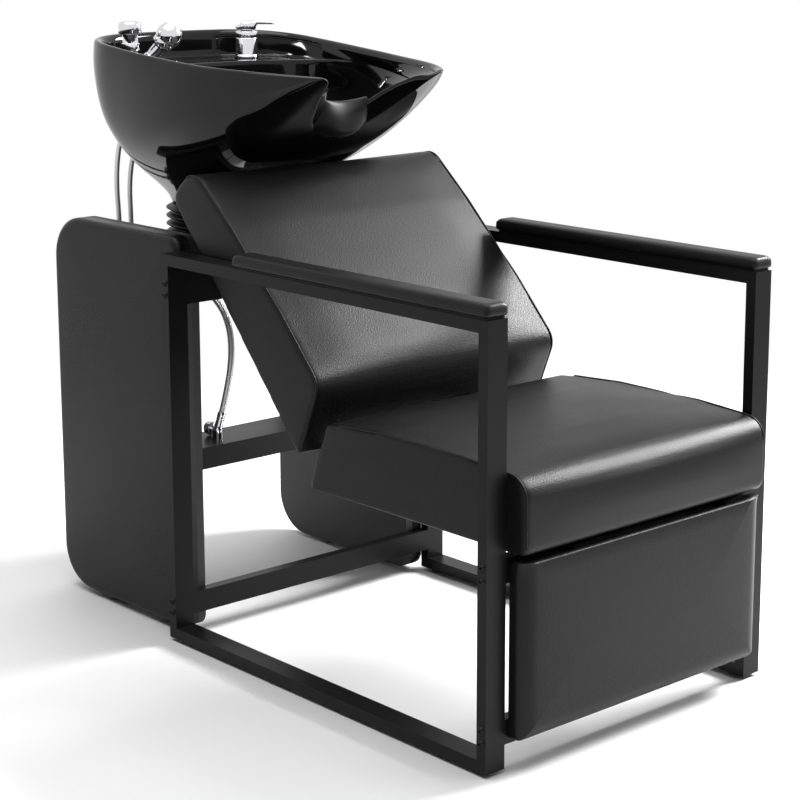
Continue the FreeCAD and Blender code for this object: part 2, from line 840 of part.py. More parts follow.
def tilt_base():
    plate = box(-tilt_plate_half, tilt_plate_half, pivot_place - tilt_plate_half, pivot_place + tilt_plate_half,
                carrier_top, carrier_top + tilt_plate_thick)
    cheeks = []
    for side in (-1, 1):
        x0, x1 = sorted((side * cheek_place, side * (cheek_place + cheek_thick)))
        cheek = box(x0, x1, pivot_place - cheek_half, pivot_place + cheek_half, carrier_top, pivot_height)
        cheeks.append(cheek)
        cheeks.append(rod(cheek_half * 0.7, V(x0, pivot_place, pivot_height), V(x1, pivot_place, pivot_height)))
    hole = rod(carrier_hole_radius, V(0, pivot_place, carrier_top - 1), V(0, pivot_place, pivot_height))
    body = without(joined([plate] + cheeks), [hole])
    pins = [rod(pivot_pin_radius, a, b) for a, b in pin_lines()]
    return without(body, pins)


def pin_lines():
    """Start and end of each tilt pin, which is held in a cheek and turns in a saddle lug."""
    near = cheek_place - lug_gap - lug_thick - 3
    far = cheek_place + cheek_thick + 5
    return [(V(side * near, pivot_place, pivot_height), V(side * far, pivot_place, pivot_height)) for side in (-1, 1)]


def tilt_pins():
    return Part.makeCompound([rod(pivot_pin_radius, a, b) for a, b in pin_lines()])


def tilt_saddle():
    """The plate under the basin with a lug beside each cheek."""
    top = saddle_low + saddle_thick
    plate = box(-saddle_half, saddle_half, pivot_place - saddle_half * 0.7, pivot_place + saddle_half * 0.7,
                saddle_low, top)
    lugs = []
    for side in (-1, 1):
        outer = cheek_place - lug_gap
        x0, x1 = sorted((side * outer, side * (outer - lug_thick)))
        lug_half = cheek_half * 0.7
        lugs.append(box(x0, x1, pivot_place - lug_half, pivot_place + lug_half, pivot_height, saddle_low))
        lugs.append(rod(lug_half, V(x0, pivot_place, pivot_height), V(x1, pivot_place, pivot_height)))
    holes = [rod(pivot_pin_radius + pivot_pin_clear, a, b) for a, b in pin_lines()]
    drain = rod(drain_radius + seat_clear, V(0, pivot_place, saddle_low - 1), V(0, pivot_place, top + 1))
    return without(joined([plate] + lugs), holes + [drain])


def drain_flange():
    """The waste fitting: a flange in the bowl and a tube down through the saddle."""
    top = bowl_floor
    low = saddle_low - drain_tail_drop
    outer = rod(drain_radius, V(0, pivot_place, low), V(0, pivot_place, top - drain_flange_thick))
    flange = rod(drain_flange_radius, V(0, pivot_place, top - drain_flange_thick), V(0, pivot_place, top))
    bore = rod(drain_tail_radius, V(0, pivot_place, low - 1), V(0, pivot_place, top + 1))
    return joined([outer, flange]).cut(bore)


def hair_strainer():
    """A slotted lift-out disc with a small knob."""
    seat = bowl_floor + strainer_seat_gap
    disc = rod(strainer_radius, V(0, pivot_place, seat), V(0, pivot_place, seat + strainer_thick))
    skirt = rod(drain_tail_radius - 1, V(0, pivot_place, seat - 6), V(0, pivot_place, seat))
    knob = rod(strainer_knob_radius, V(0, pivot_place, seat), V(0, pivot_place, seat + strainer_thick
               + strainer_knob_height))
    slots = []
    for index in range(strainer_slots):
        slot = box(strainer_knob_radius + 3, drain_tail_radius - 4, -strainer_slot_half, strainer_slot_half, -10, 10)
        slot.rotate(V(0, 0, 0), V(0, 0, 1), 360 * index / strainer_slots)
        slot.translate(V(0, pivot_place, seat))
        slots.append(slot)
    return without(joined([disc, skirt]), slots).fuse(knob).removeSplitter()


def drain_bend(radius):
    """A rod down from the drain that turns to the rear below the carrier."""
    top = V(0, pivot_place, saddle_low - drain_tail_drop)
    turn_start = V(0, pivot_place, drain_tail_low + drain_tail_bend)
    centre = turn_start + V(0, drain_tail_bend, 0)
    corner = centre - V(0, drain_tail_bend, drain_tail_bend) * math.sqrt(0.5)
    turn_end = centre - V(0, 0, drain_tail_bend)
    end = V(0, pivot_place + drain_tail_reach, drain_tail_low)
    edges = [Part.LineSegment(top, turn_start).toShape(), Part.Arc(turn_start, corner, turn_end).toShape(),
             Part.LineSegment(turn_end, end).toShape()]
    section = Part.Wire(Part.makeCircle(radius, top, V(0, 0, -1)))
    return Part.Wire(edges).makePipeShell([section], True, False)


def drain_tail():
    """The waste elbow under the drain; its open end faces the rear."""
    return drain_bend(drain_tail_radius).cut(drain_bend(drain_tail_radius - drain_tail_wall))


def tap_tail(place):
    """The threaded tail and nut of a tap, below the deck."""
    x, y = place
    under = deck_height - deck_thick
    tail = rod(tail_radius, V(x, y, deck_height - tail_length), V(x, y, deck_height))
    nut = rod(nut_radius, V(x, y, under - nut_height), V(x, y, under))
    return tail.fuse(nut)


def mixer_body():
    x, y = mixer_place
    base = rod(mixer_base_radius, V(x, y, deck_height), V(x, y, deck_height + mixer_base_height))
    body = Part.makeCone(mixer_base_radius - 2, mixer_body_radius, mixer_body_height - mixer_base_height,
                         V(x, y, deck_height + mixer_base_height))
    return joined([base, body, tap_tail(mixer_place)])


def lever_low():
    return deck_height + mixer_body_height + mixer_gap + mixer_head_height + mixer_gap


def turned_lever(shape):
    """A shape drawn along +X at the origin, put where the lever is."""
    shape.rotate(V(0, 0, 0), V(0, 0, 1), lever_turn)
    shape.translate(V(mixer_place[0], mixer_place[1], lever_low()))
    return shape


def across_pin(radius, side, length):
    """A rod along the lever's pin, from side outwards along it."""
    return rod(radius, V(-lever_pin_back, side, lever_knuckle_radius),
               V(-lever_pin_back, side + length, lever_knuckle_radius))


def lever_cheeks(clear):
    """The two ears that hold the lever's pin, or the room round them."""
    ears = []
    for side in (-1, 1):
        near, far = sorted((side * (lever_knuckle_half + mixer_gap - clear),
                            side * (lever_knuckle_half + mixer_gap + lever_cheek_thick + clear)))
        wide = lever_cheek_half + clear
        ears.append(box(-lever_pin_back - wide, -lever_pin_back + wide, near, far, -mixer_gap, lever_knuckle_radius))
        ears.append(across_pin(wide, near, far - near))
    return ears


def mixer_head():
    """The turning head on the mixer body, with two ears and a pin for the lever."""
    x, y = mixer_place
    low = deck_height + mixer_body_height + mixer_gap
    head = rod(mixer_body_radius, V(x, y, low), V(x, y, low + mixer_head_height))
    stem = rod(mixer_body_radius / 3, V(x, y, low - mixer_gap), V(x, y, low))
    reach = lever_knuckle_half + mixer_gap + lever_cheek_thick
    ears = turned_lever(joined(lever_cheeks(0.0) + [across_pin(lever_pin_radius, -reach, 2 * reach)]))
    return joined([head, stem, ears])


def mixer_lever():
    """The lever cap on its pin, reaching forward towards the sitter's left."""
    top = mixer_lever_thick * 1.6
    cap = Part.makeCone(mixer_body_radius, mixer_body_radius * 0.8, top)
    behind = box(-2 * mixer_body_radius, -lever_pin_back, -mixer_body_radius, mixer_body_radius, -1, top + 1)
    blade_half = mixer_body_radius * 0.55
    blade = box(0, mixer_lever_reach, -blade_half, blade_half, top - mixer_lever_thick, top)
    tip = [edge for edge in blade.Edges if all(v.Point.x > mixer_lever_reach - 0.1 for v in edge.Vertexes)]
    blade = blade.makeFillet(mixer_lever_thick * 0.45, tip)
    knuckle = across_pin(lever_knuckle_radius, -lever_knuckle_half, 2 * lever_knuckle_half)
    bore = across_pin(lever_pin_radius + lever_pin_clear, -mixer_body_radius, 2 * mixer_body_radius)
    body = joined([cap.cut(behind), blade, knuckle])
    return turned_lever(without(body, lever_cheeks(lever_notch_clear) + [bore]))


def holder_axis():
    lean = math.radians(holder_lean)
    return V(0.75 * math.sin(lean), -0.66 * math.sin(lean), math.cos(lean)).normalize()


def holder_origin():
    return V(holder_place[0], holder_place[1], deck_height + holder_base_height)


def shower_holder():
    """A base with a leaning socket for the hand shower's stem."""
    x, y = holder_place
    base = rod(holder_base_radius, V(x, y, deck_height), V(x, y, deck_height + holder_base_height))
    start = holder_origin()
    tube = rod(holder_tube_radius, start - holder_axis() * 4, start + holder_axis() * holder_tube_length)
    ball = Part.makeSphere(holder_ball_radius, start)
    under = box(x - 40, x + 40, y - 40, y + 40, deck_height - 60, deck_height)
    body = joined([base, tube, ball]).cut(under)
    bore = rod(holder_bore, start + holder_axis() * 2, start + holder_axis() * (holder_tube_length + 10))
    return joined([body.cut(bore), tap_tail(holder_place)])


def shower_ball_centre():
    return holder_origin() + holder_axis() * (holder_tube_length + shower_ball_rise)


def hand_shower():
    """The ball-shaped spray head on its stem."""
    start = holder_origin() + holder_axis() * 3
    stem = rod(shower_stem_radius, start, start + holder_axis() * (shower_stem_length + shower_ball_rise))
    neck = Part.makeCone(holder_tube_radius, shower_ball_radius * 0.75, shower_ball_rise * 0.6,
                         holder_origin() + holder_axis() * (holder_tube_length + 0.4), holder_axis())
    ball = Part.makeSphere(shower_ball_radius, shower_ball_centre())
    return joined([stem, neck, ball]).cut(spray_cut())


def spray_axis():
    return V(0.45, -0.2, 0.87).normalize()


def spray_cut():
    flat = math.sqrt(shower_ball_radius ** 2 - shower_face_radius ** 2)
    start = shower_ball_centre() + spray_axis() * (flat - shower_face_thick)
    return rod(shower_face_radius, start, start + spray_axis() * shower_ball_radius)


def shower_face():
    flat = math.sqrt(shower_ball_radius ** 2 - shower_face_radius ** 2)
    start = shower_ball_centre() + spray_axis() * (flat - shower_face_thick)
    return rod(shower_face_radius, start, start + spray_axis() * shower_face_thick)


def breaker_body():
    x, y = breaker_place
    neck = rod(breaker_body_radius, V(x, y, deck_height), V(x, y, deck_height + breaker_body_height))
    ring = rod(breaker_body_radius + breaker_ring, V(x, y, deck_height), V(x, y, deck_height + mixer_base_height))
    return joined([neck, ring, tap_tail(breaker_place)])


def breaker_cap():
    x, y = breaker_place
    cap = Part.makeCylinder(breaker_cap_radius, breaker_cap_height, V(x, y, deck_height + breaker_body_height))
    return cap.makeChamfer(breaker_chamfer, cap.Edges)


def manifold():
    """The water block behind the carrier, with two ports on top and one in front, below the carrier."""
    low = manifold_low
    top = low + manifold_tall
    block = box(manifold_side - manifold_half, manifold_side + manifold_half, carrier_rear,
                carrier_rear + manifold_deep, low, top)
    front = rod(port_radius, V(manifold_side, carrier_rear - port_length, front_port_height),
                V(manifold_side, manifold_middle, front_port_height))
    above = [rod(port_radius, V(manifold_side + step * port_spread, manifold_middle, top - port_length),
                 V(manifold_side + step * port_spread, manifold_middle, top + port_length)) for step in (-1, 1)]
    return joined([block, front] + above)


def valve_axis(index):
    return V(valve_leans[index], 0, 1).normalize()


def valve_top(index):
    return V(valve_places[index], valve_back, beam_top + valve_post)


def stop_valves():
    """Two valves standing on the beam, each with a ball, an outlet and a small knob at the rear."""
    valves = []
    for index in range(len(valve_places)):
        top = valve_top(index)
        post = rod(valve_body_radius, top - up(valve_post), top)
        ball = Part.makeSphere(valve_body_radius, top)
        outlet = rod(valve_outlet_radius, top, top + valve_axis(index) * valve_outlet)
        knob_at = top + V(0, valve_body_radius + valve_stem, 0)
        stem = rod(valve_body_radius / 2, top, knob_at)
        knob = rod(valve_knob_radius, knob_at, knob_at + V(0, valve_knob_length, 0))
        valves.append(joined([post, ball, outlet, stem, knob]))
    return Part.makeCompound(valves)


def hose(points, radius):
    """A tube along straight runs joined by the largest tangent arcs, with a crimped ferrule at each end."""
    edges = []
    last_end = points[0]
    tightest = math.inf
    for index in range(1, len(points) - 1):
        corner = points[index]
        into = (points[index - 1] - corner)
        out = (points[index + 1] - corner)
        run = min(into.Length, out.Length) * 0.45
        into.normalize()
        out.normalize()
        turn = math.pi - into.getAngle(out)
        if turn < straight_turn:
            continue
        bend = run / math.tan(turn / 2)
        tightest = min(tightest, bend)
        inward = (into + out).normalize()
        middle = corner + inward * (bend / math.cos(turn / 2) - bend)
        start = corner + into * run
        end = corner + out * run
        edges.append(Part.LineSegment(last_end, start).toShape())
        edges.append(Part.Arc(start, middle, end).toShape())
        last_end = end
    edges.append(Part.LineSegment(last_end, points[-1]).toShape())
    path = Part.Wire(edges)
    length = path.Length
    section = Part.Wire(Part.makeCircle(radius, points[0], points[1] - points[0]))
    tube = path.makePipeShell([section], True, False)
    ideal = math.pi * radius ** 2 * length
    print(f"hose length {length:7.1f} least radius {tightest:6.1f} volume share {tube.Volume / ideal:6.4f}")
    ends = [(points[0], points[1]), (points[-1], points[-2])]
    sleeves = [rod(ferrule_radius, a, a + (b - a).normalize() * ferrule_radius * 2) for a, b in ends]
    return joined([tube] + sleeves)


def swing(start, end, leave, arrive, steps):
    """Points of a smooth run from start to end; leave and arrive are its handles at the two ends."""
    handles = [start, start + leave, end + arrive, end]
    points = []
    for step in range(steps + 1):
        t = step / steps
        s = 1 - t
        shares = (s ** 3, 3 * s * s * t, 3 * s * t * t, t ** 3)
        point = V(0, 0, 0)
        for handle, share in zip(handles, shares):
            point = point + handle * share
        points.append(point)
    return points


def up(length):
    return V(0, 0, length)


def tail_end(place):
    return V(place[0], place[1], deck_height - tail_length - seat_clear)


def port_end(step):
    return V(manifold_side + step * port_spread, manifold_middle,
             manifold_low + manifold_tall + port_length + seat_clear)


def valve_end(index):
    return valve_top(index) + valve_axis(index) * (valve_outlet + seat_clear)


def hanging_hose(start, end):
    """A slack hose from a tap tail down to its port."""
    run = swing(start - up(hose_stub), end + up(hose_stub), V(*hose_bulge), V(*hose_arrive), hose_steps)
    return hose([start] + run + [end], hose_radius)


def breaker_hose():
    return hanging_hose(tail_end(breaker_place), port_end(-1))


def shower_hose():
    return hanging_hose(tail_end(holder_place), port_end(1))


def mixer_hose():
    start = tail_end(mixer_place)
    middle = V(mixer_side + mixer_hose_side, basin_rear - mixer_hose_gap, mixer_hose_height)
    end = valve_end(1)
    down = swing(start - up(hose_stub), middle, up(-mixer_hose_ease), up(mixer_hose_ease), hose_steps)
    across = swing(middle, end + up(hose_stub), up(-mixer_hose_fall), up(mixer_hose_rise), mixer_hose_steps)
    return hose([start] + down + across[1:] + [end], hose_radius)


def supply_hose():
    start = valve_end(0)
    lean = valve_axis(0)
    end = V(manifold_side, carrier_rear - port_length - seat_clear, front_port_height)
    run = swing(start + lean * hose_stub, end - V(0, hose_stub, 0), lean * supply_rise, V(0, -supply_reach, 0),
                supply_steps)
    return hose([start] + run + [end], braid_radius)


def build_frame():
    legs_and_rails()
    save("cross_tube_seat", cross_tube(0, seat_tube_low, tube_wide))
    save("cross_tube_front_low", cross_tube(0, low_tube_low, tube_wide))
    save("cross_tube_rear_low", cross_tube(rear_front, low_tube_low, tube_wide))
    save("cross_tube_rear_high", cross_tube(rear_front, high_tube_low, high_tube_tall))
    save("frame_bolts", frame_bolts())
    save("frame_feet", frame_feet())
    for word, side in (("right", -1), ("left", 1)):
        save(f"panel_pad_{word}", panel_pad(side))
        save(f"panel_board_{word}", panel_board(side))
    save("panel_feet", panel_feet())
    save("plumbing_beam", plumbing_beam())
    save("basin_carrier", basin_carrier())


def build_chair():
    arm_pads()
    save("seat_cushion", seat_cushion())
    save("seat_board", seat_board())
    save("back_cushion", back_cushion())
    save("back_board", back_board())
    save("seat_brackets", seat_brackets())
    save("back_stays", back_stays())
    save("leg_rest_pad", leg_pad())
    save("leg_rest_board", leg_board())
    save("leg_rest_hinges", leg_hinges())
    save("leg_rest_pins", Part.makeCompound(leg_pins()))


def build_basin():
    shell = basin()
    save("basin", shell)
    save("neck_rest", neck_rest(shell))
    save("collar", collar(basin_outer()))
    save("bellows", bellows())
    save("tilt_base", tilt_base())
    save("tilt_pins", tilt_pins())
    save("tilt_saddle", tilt_saddle())
    save("drain_flange", drain_flange())
    save("hair_strainer", hair_strainer())
    save("drain_tail", drain_tail())


def build_taps():
    save("mixer_body", mixer_body())
    save("mixer_head", mixer_head())
    save("mixer_lever", mixer_lever())
    save("shower_holder", shower_holder())
    save("hand_shower", hand_shower())
    save("shower_face", shower_face())
    save("breaker_body", breaker_body())
    save("breaker_cap", breaker_cap())
    save("manifold", manifold())
    save("stop_valves", stop_valves())
    save("breaker_hose", breaker_hose())
    save("shower_hose", shower_hose())
    save("mixer_hose", mixer_hose())
    save("supply_hose", supply_hose())


os.makedirs("parts", exist_ok=True)
build_frame()
build_chair()
build_basin()
build_taps()
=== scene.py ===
"""Looks of the salon backwash unit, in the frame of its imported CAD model. Lengths are given in millimetres,
measured along Y from the front of the tube frame, and turned into metres of the shared frame by at()."""
import bpy
import json
import math
from mathutils import Matrix, Vector


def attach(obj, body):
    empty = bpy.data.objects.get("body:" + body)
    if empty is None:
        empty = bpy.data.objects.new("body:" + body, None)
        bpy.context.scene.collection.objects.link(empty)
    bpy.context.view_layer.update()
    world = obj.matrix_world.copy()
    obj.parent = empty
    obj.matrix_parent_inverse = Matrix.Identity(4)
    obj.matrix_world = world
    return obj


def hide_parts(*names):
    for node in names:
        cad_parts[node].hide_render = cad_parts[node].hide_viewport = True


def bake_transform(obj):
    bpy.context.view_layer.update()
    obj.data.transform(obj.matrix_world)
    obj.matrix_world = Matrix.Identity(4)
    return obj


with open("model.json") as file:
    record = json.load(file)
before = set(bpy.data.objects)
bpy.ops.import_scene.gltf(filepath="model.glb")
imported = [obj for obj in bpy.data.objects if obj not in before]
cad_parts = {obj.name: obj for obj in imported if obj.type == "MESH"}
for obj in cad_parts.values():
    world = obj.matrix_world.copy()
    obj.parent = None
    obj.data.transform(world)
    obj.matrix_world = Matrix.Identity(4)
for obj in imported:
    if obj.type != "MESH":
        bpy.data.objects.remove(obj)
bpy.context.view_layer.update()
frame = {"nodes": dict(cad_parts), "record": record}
NODES = frame["nodes"]
SCENE = bpy.context.scene
MIDDLE = 606.75

# Cushions: seam lines in (Y, Z), the faces that rest on a board, piping and cloth run
CUSHION_HALF = 278.0
SEAT_EDGE = ((430, 466), (-36, 466), (-36, 350))
SEAT_REST = ((430, 466), (478, 346), (-20, 346))
SEAT_CROWN = 9.0
SEAT_TURN = 38.0
BACK_EDGE = ((834, 817), (786, 853), (448, 526), (500, 398))
BACK_REST = ((502, 394), (856, 800))
BACK_CROWN = 8.0
BACK_TOP_TURN = 40.0
BACK_TURN = 34.0
BOW_SHARES = (0.3, 0.7)
BOW_RADIUS = 0.4
PIPING_RADIUS = 1.7
PIPING_INSET = 2.2
PIPING_SINK = 2.2
PIPING_SIDES = 10
SEAM_STEP = 6.0
SEAM_TRIM = (5, 2)
SEAM_REACH = 0.012
REST_REACH = 16.0
CUSHION_VOXEL = 0.006
ARM_VOXEL = 0.004
EASE_FACTOR = 0.5
EASE_PASSES = 3
CLOTH_FRAMES = 20
CLOTH_QUALITY = 4
CLOTH_PRESSURE = 4.0
CLOTH_CAP = 0.006
EVEN_PASSES = 20

# Leg rest and side panels: flat-backed pads with turned edges
CORNER_STEPS = 10
SIDE_STEPS = 16
TURN_STEPS = 10
FACE_STEPS = 6
MIDDLE_STRIP = 2.0
SHARP_CORNER = 0.5
LEG_HALF = 279.0
LEG_HEIGHTS = (52.0, 337.5)
LEG_REAR = -1.5
LEG_THICK = 35.0
LEG_EDGE = 12.0
LEG_CROWN = 3.5
LEG_TURN = 30.0
LEG_TOP_TURN = 5.0
LEG_CORNERS = (10.0, 14.0, 8.0, 8.0)
LEG_PIVOT = (-19.0, 320.0)
LEG_SWING = 17.9
HINGE_PLACE = 180.0
HINGE_HALF = 13.0
HINGE_ARM = 8.6
HINGE_ROOM = 11.3
NOTCH_PAST = 2.0
NOTCH_SHARP = math.radians(50)
PANEL_SPLIT = 261.0
PANEL_THICK = 34.0
PANEL_EDGE = 20.0
PANEL_TURN = 14.0
PANEL_CROWN = 3.0
PANEL_RUN = (820.0, 1222.0)
PANEL_HEIGHTS = (8.0, 729.0)
PANEL_CORNERS = (25.0, 80.0, 80.0, 25.0)

# Basin: levels (height, width, front, rear, roundness, rim slope) and the rim's outline, fitted to the photograph
PIVOT_Y = 1060.0
BASIN_FOOT = 754.0
BASIN_TALL = 277.0
BASIN_HALF = 241.0
BASIN_FRONT = 597.0
BASIN_REAR = 1250.0
RIM_HEIGHT = 1031.0
RIM_REFERENCE = 960.0
RIM_SLOPE = 0.085
RIM_WALL = 15.0
RIM_INSET = 24.0
RIM_TURN = 8.0
RIM_SOFT = 0.05
RIM_REACH = 1.3
LIP_TURN = 26.0
DECK_HEIGHT = 1006.0
DECK_FRONT = 1104.0
DECK_TURNS = (0.50, 0.66)
BOWL_FLOOR = 786.0
OUTER_LEVELS = ((-0.042, 0.44, 0.771, 0.442, 1.0, 0.0), (0.058, 0.505, 0.74, 0.45, 0.9, 0.0),
                (0.177, 0.685, 0.62, 0.379, 0.65, 0.0), (0.303, 0.81, 0.5, 0.242, 0.4, 0.0),
                (0.45, 0.905, 0.39, 0.13, 0.22, 0.12), (0.599, 0.967, 0.283, 0.053, 0.1, 0.35),
                (0.834, 0.996, 0.115, 0.0, 0.0, 0.7), (1.0, 1.0, -0.015, 0.0, 0.0, 1.0))
BOWL_LEVELS = ((0.0, 0.19, 0.9, 1.0, 1.0, 0.0), (0.139, 0.533, 0.726, 0.95, 0.8, 0.0),
               (0.335, 0.78, 0.531, 0.94, 0.5, 0.0), (0.567, 0.938, 0.359, 0.96, 0.25, 0.24),
               (0.812, 0.982, 0.199, 1.0, 0.15, 0.6), (1.0, 1.0, 0.055, 1.02, 0.1, 1.0))
RING = ((0.0, 0.0), (0.42, 0.004), (0.62, 0.03), (0.80, 0.145), (0.955, 0.355), (1.0, 0.56), (1.0, 0.70),
        (0.97, 0.82), (0.86, 0.91), (0.66, 0.965), (0.38, 0.99), (0.0, 1.0))
FRONT_TURN = 0.25
FRONT_COLUMNS = 56
REAR_COLUMNS = 60
OUTER_ROWS = 29
EDGE_ROWS = 8
WALL_ROWS = 5
DECK_ROWS = 8
BOWL_ROWS = 24
SEARCH_STEPS = 24
LIP_DROP = 0.4

# Basin: fuller cheeks, lifted wings with a thick front edge, and the neck lip between them
CHEEK = (22.0, -20.0)
CHEEK_TURNS = (0.0, 0.24, 0.62)
CHEEK_LEVELS = (-0.05, 0.5, 0.8, 1.0)
WING_LIFT = 8.0
WING_LIFT_LEVELS = (0.6, 1.0)
WING_RISE = 860.0
NECK_SHARE = 0.60
NECK_FLAT = 0.275
NECK_TIP = 0.51
WING_EASE = 0.2
TIP_EASE = 0.36
WING_STEP = 0.5
NECK_BAND = (0.0, 4.0, 26.0)
WING_BANDS = ((-18.0, -12.0, 38.0), (-20.0, 0.0, 26.0), (-6.0, 16.0, 3.0), (-6.0, 16.0, -4.0))
ROUND_RIM = (0.8, 1.35)
EDGE_FULL = 0.35
EDGE_SWELL = 0.6
OUTSIDE_EASE = 0.6
OUTSIDE_PASSES = 60
EASED_ROWS = (1, 5, OUTER_ROWS - 7, OUTER_ROWS - 2)
EASED_TURNS = (0.45, 0.3)

# Neck rest and bellows
NECK_LOW = ((62.0, 722.0, 918.0), (0.0, 733.0, 893.0))
NECK_TOP = ((48.0, 702.0, 962.0), (0.0, 712.0, 956.0))
NECK_OUT = Vector((0, -0.94, -0.34))
NECK_THIN = 3.0
NECK_BULGE = 24.0
NECK_SWELL = 2.6
NECK_DEPTH = 34.0
NECK_ROWS = 40
NECK_SIDES = 48
BELLOWS_LOW = 680.0
BELLOWS_TALL = 62.0
BELLOWS_IN = 106.0
BELLOWS_OUT = 118.0
BELLOWS_RIBS = 4
BELLOWS_WALL = 2.5
BELLOWS_STEPS = 64
BELLOWS_SIDES = 96

# Taps: places on the deck; the lever's steps and tapers are given along it from the mixer's axis
MIXER = (134.0, 1168.0)
MIXER_RADIUS = 22.0
LEVER_TURN = math.radians(-45.0)
LEVER_LOW = 1058.8
LEVER_REACH = 55.0
LEVER_REAR_GAP = 0.3
LEVER_ROWS = 48
LEVER_SIDES = 24
LEVER_SQUARE = 0.6
HOOD_END = 14.0
HOOD_HEEL = 3.0
HOOD_TOP = 11.0
HOOD_RISE = 10.0
HOOD_RISE_RUN = (-20.0, -2.0)
HEEL_LIFT = 5.0
HEEL_RUN = (-10.0, -21.0)
BLADE_HALF = (14.9, 10.0)
BLADE_TAPER = (14.0, 30.0)
BLADE_LIFT = 13.0
BLADE_LIFT_RUN = (15.0, 23.0)
BLADE_DROP = 1.5
BLADE_DROP_RUN = (24.0, 55.0)
BLADE_END = (45.0, 56.0)
BLADE_END_SHARE = 0.06
HOLDER = (-100.0, 1166.0)
HOLDER_AXIS = Vector((0.4823, -0.4244, 0.7663))
HOLDER_FOOT = 7.0
BALL_PLACE = 60.0
BALL_RADIUS = 25.0
BALL_MOUTH = 18.3
BALL_STEPS = 24
BALL_POLE = 0.3
SPRAY_AXIS = Vector((0.45, -0.2, 0.87)).normalized()
BREAKER = (-137.0, 1174.0)
BREAKER_RISE = 56.0
TAIL = [(9, -34), (9, -16), (15, -16), (15, -11)]  # (radius, height) below the deck

# Hoses: their ends, the handles of their runs and the sleeves' (radius, height) profile
TAIL_END = 971.7
PORT_Y = 1191.0
PORT_END = 670.3
BREAKER_PORT = -162.0
SHOWER_PORT = -135.0
VALVE_Y = 866.0
VALVE_TOP = 356.0
VALVE_OUTLET = 18.3
HOSE_STUB = 40.0
HOSE_BULGE = (-20.0, 28.0, -70.0)
HOSE_ARRIVE = (-4.0, 10.0, 90.0)
HOSE_STEPS = 4
LONG_STEPS = 8
HOSE_ORDER = 3
HOSE_RESOLUTION = 10
TAP_HOSE = 10.0
SUPPLY_HOSE = 12.0
MIXER_VALVE = 150.0
MIXER_BEND = (146.5, 1206.0, 700.0)
MIXER_FALL = ((0, 0, -90), (0, 0, 90))
MIXER_CROSS = ((0, 0, -220), (0, 0, 170))
SUPPLY_VALVE = -177.0
SUPPLY_PORT = (-148.5, 1159.7, 622.0)
SUPPLY_LEAN = Vector((0.34, 0.0, 1.0)).normalized()
SUPPLY_RISE = 200.0
SUPPLY_ARRIVE = (0, -160, 0)
FERRULE = [(7.2, 0), (8, 1), (8, 5), (7.4, 6), (8, 7), (8, 14), (6.4, 16)]
FERRULE_SIDES = 24

# Finishes: how far the clouds lighten a colour, the detail of the noises, and the hoses' braid
CLOUD_GAIN = 1.35
CLOUD_LIFT = 0.002
CLOUD_DETAIL = 6.0
GRAIN_DETAIL = 3.0
GRAIN_BUMP = 0.5
BRAID_ANGLE = math.radians(45)
BRAID_SCALE = 1.2
BRAID_ROUGH = (0.45, 0.22)
# Braid colours: painted shade in the grooves between the wires, and the wires' own colour on their tops
BRAID_GROOVE_SHADE = (0.18, 0.18, 0.185, 1)
BRAID_BRIGHT = (0.86, 0.86, 0.88, 1)
BRAID_BUMP = 0.6
BRAID_DEPTH = 0.0005
BRAID_METAL = 0.8

# Camera solved from the photograph's frame edges, and the stage, in metres
CAMERA_PLACE = (-2.32572, -2.67858, 1.27738)
CAMERA_TURN = math.radians(-41.927)
CAMERA_DIP = math.radians(11.186)
CAMERA_ROLL = math.radians(-0.045)
CAMERA_LENS = 91.495
CAMERA_SENSOR = 36.0
CAMERA_SHIFT = (-0.02, -0.10)
CAMERA_CLIP = (0.05, 60.0)
FLOOR_HALF = 4.0
FLOOR_FADE = (1.3, 2.6)
STUDIO_BRIGHT_SIDE = (0.85, 0.53, 0.0)
STUDIO_BLEND = (-0.7, 0.7)
STUDIO_LIGHT = (0.011, 0.85)
# Lights: place, aim, size and power
KEY_LIGHT = ((3.1, -0.9, 2.4), (0, 0, 0.5), 1.4, 330)
TOP_LIGHT = ((-0.4, 0.0, 4.5), (0, 0, 0), 4.0, 170)
# Eased edges on the solids of these finishes
BEVELLED = ("powder_black", "board")
BEVEL_WIDTH = 0.0014
BEVEL_SEGMENTS = 2
BEVEL_ANGLE = math.radians(40)


def at(x, y, z):
    return Vector((x, y - MIDDLE, z)) / 1000


def link(name, mesh):
    piece = bpy.data.objects.new(name, mesh)
    SCENE.collection.objects.link(piece)
    return piece


def mesh_piece(name, points, faces):
    mesh = bpy.data.meshes.new(name)
    mesh.from_pydata([tuple(p) for p in points], [], faces)
    mesh.validate()
    for polygon in mesh.polygons:
        polygon.use_smooth = True
    return link(name, mesh)


def grid_faces(rows, columns, close_rows=False):
    """Quads of a grid of points stored row by row, closed round its columns."""
    faces = []
    for r in range(rows if close_rows else rows - 1):
        for c in range(columns):
            right = (c + 1) % columns
            above = (r + 1) % rows
            faces.append((r * columns + c, r * columns + right, above * columns + right, above * columns + c))
    return faces


def capped_faces(rows, columns):
    """The same grid with a face over its first row and one over its last."""
    faces = grid_faces(rows, columns)
    faces.append(tuple(range(columns))[::-1])
    faces.append(tuple((rows - 1) * columns + c for c in range(columns)))
    return faces


def subdivide(piece):
    smooth = piece.modifiers.new("smooth", "SUBSURF")
    smooth.levels = 1
    smooth.render_levels = 1


def curve_through(points, place):
    """The point of a Catmull-Rom curve at a place counted in points."""
    last = len(points) - 1
    index = min(int(place), last - 1)
    t = place - index
    p0 = points[max(index - 1, 0)]
    p1 = points[index]
    p2 = points[index + 1]
    p3 = points[min(index + 2, last)]
    return [0.5 * (2 * b + (c - a) * t + (2 * a - 5 * b + 4 * c - d) * t * t + (3 * b - a - 3 * c + d) * t ** 3)
            for a, b, c, d in zip(p0, p1, p2, p3)]


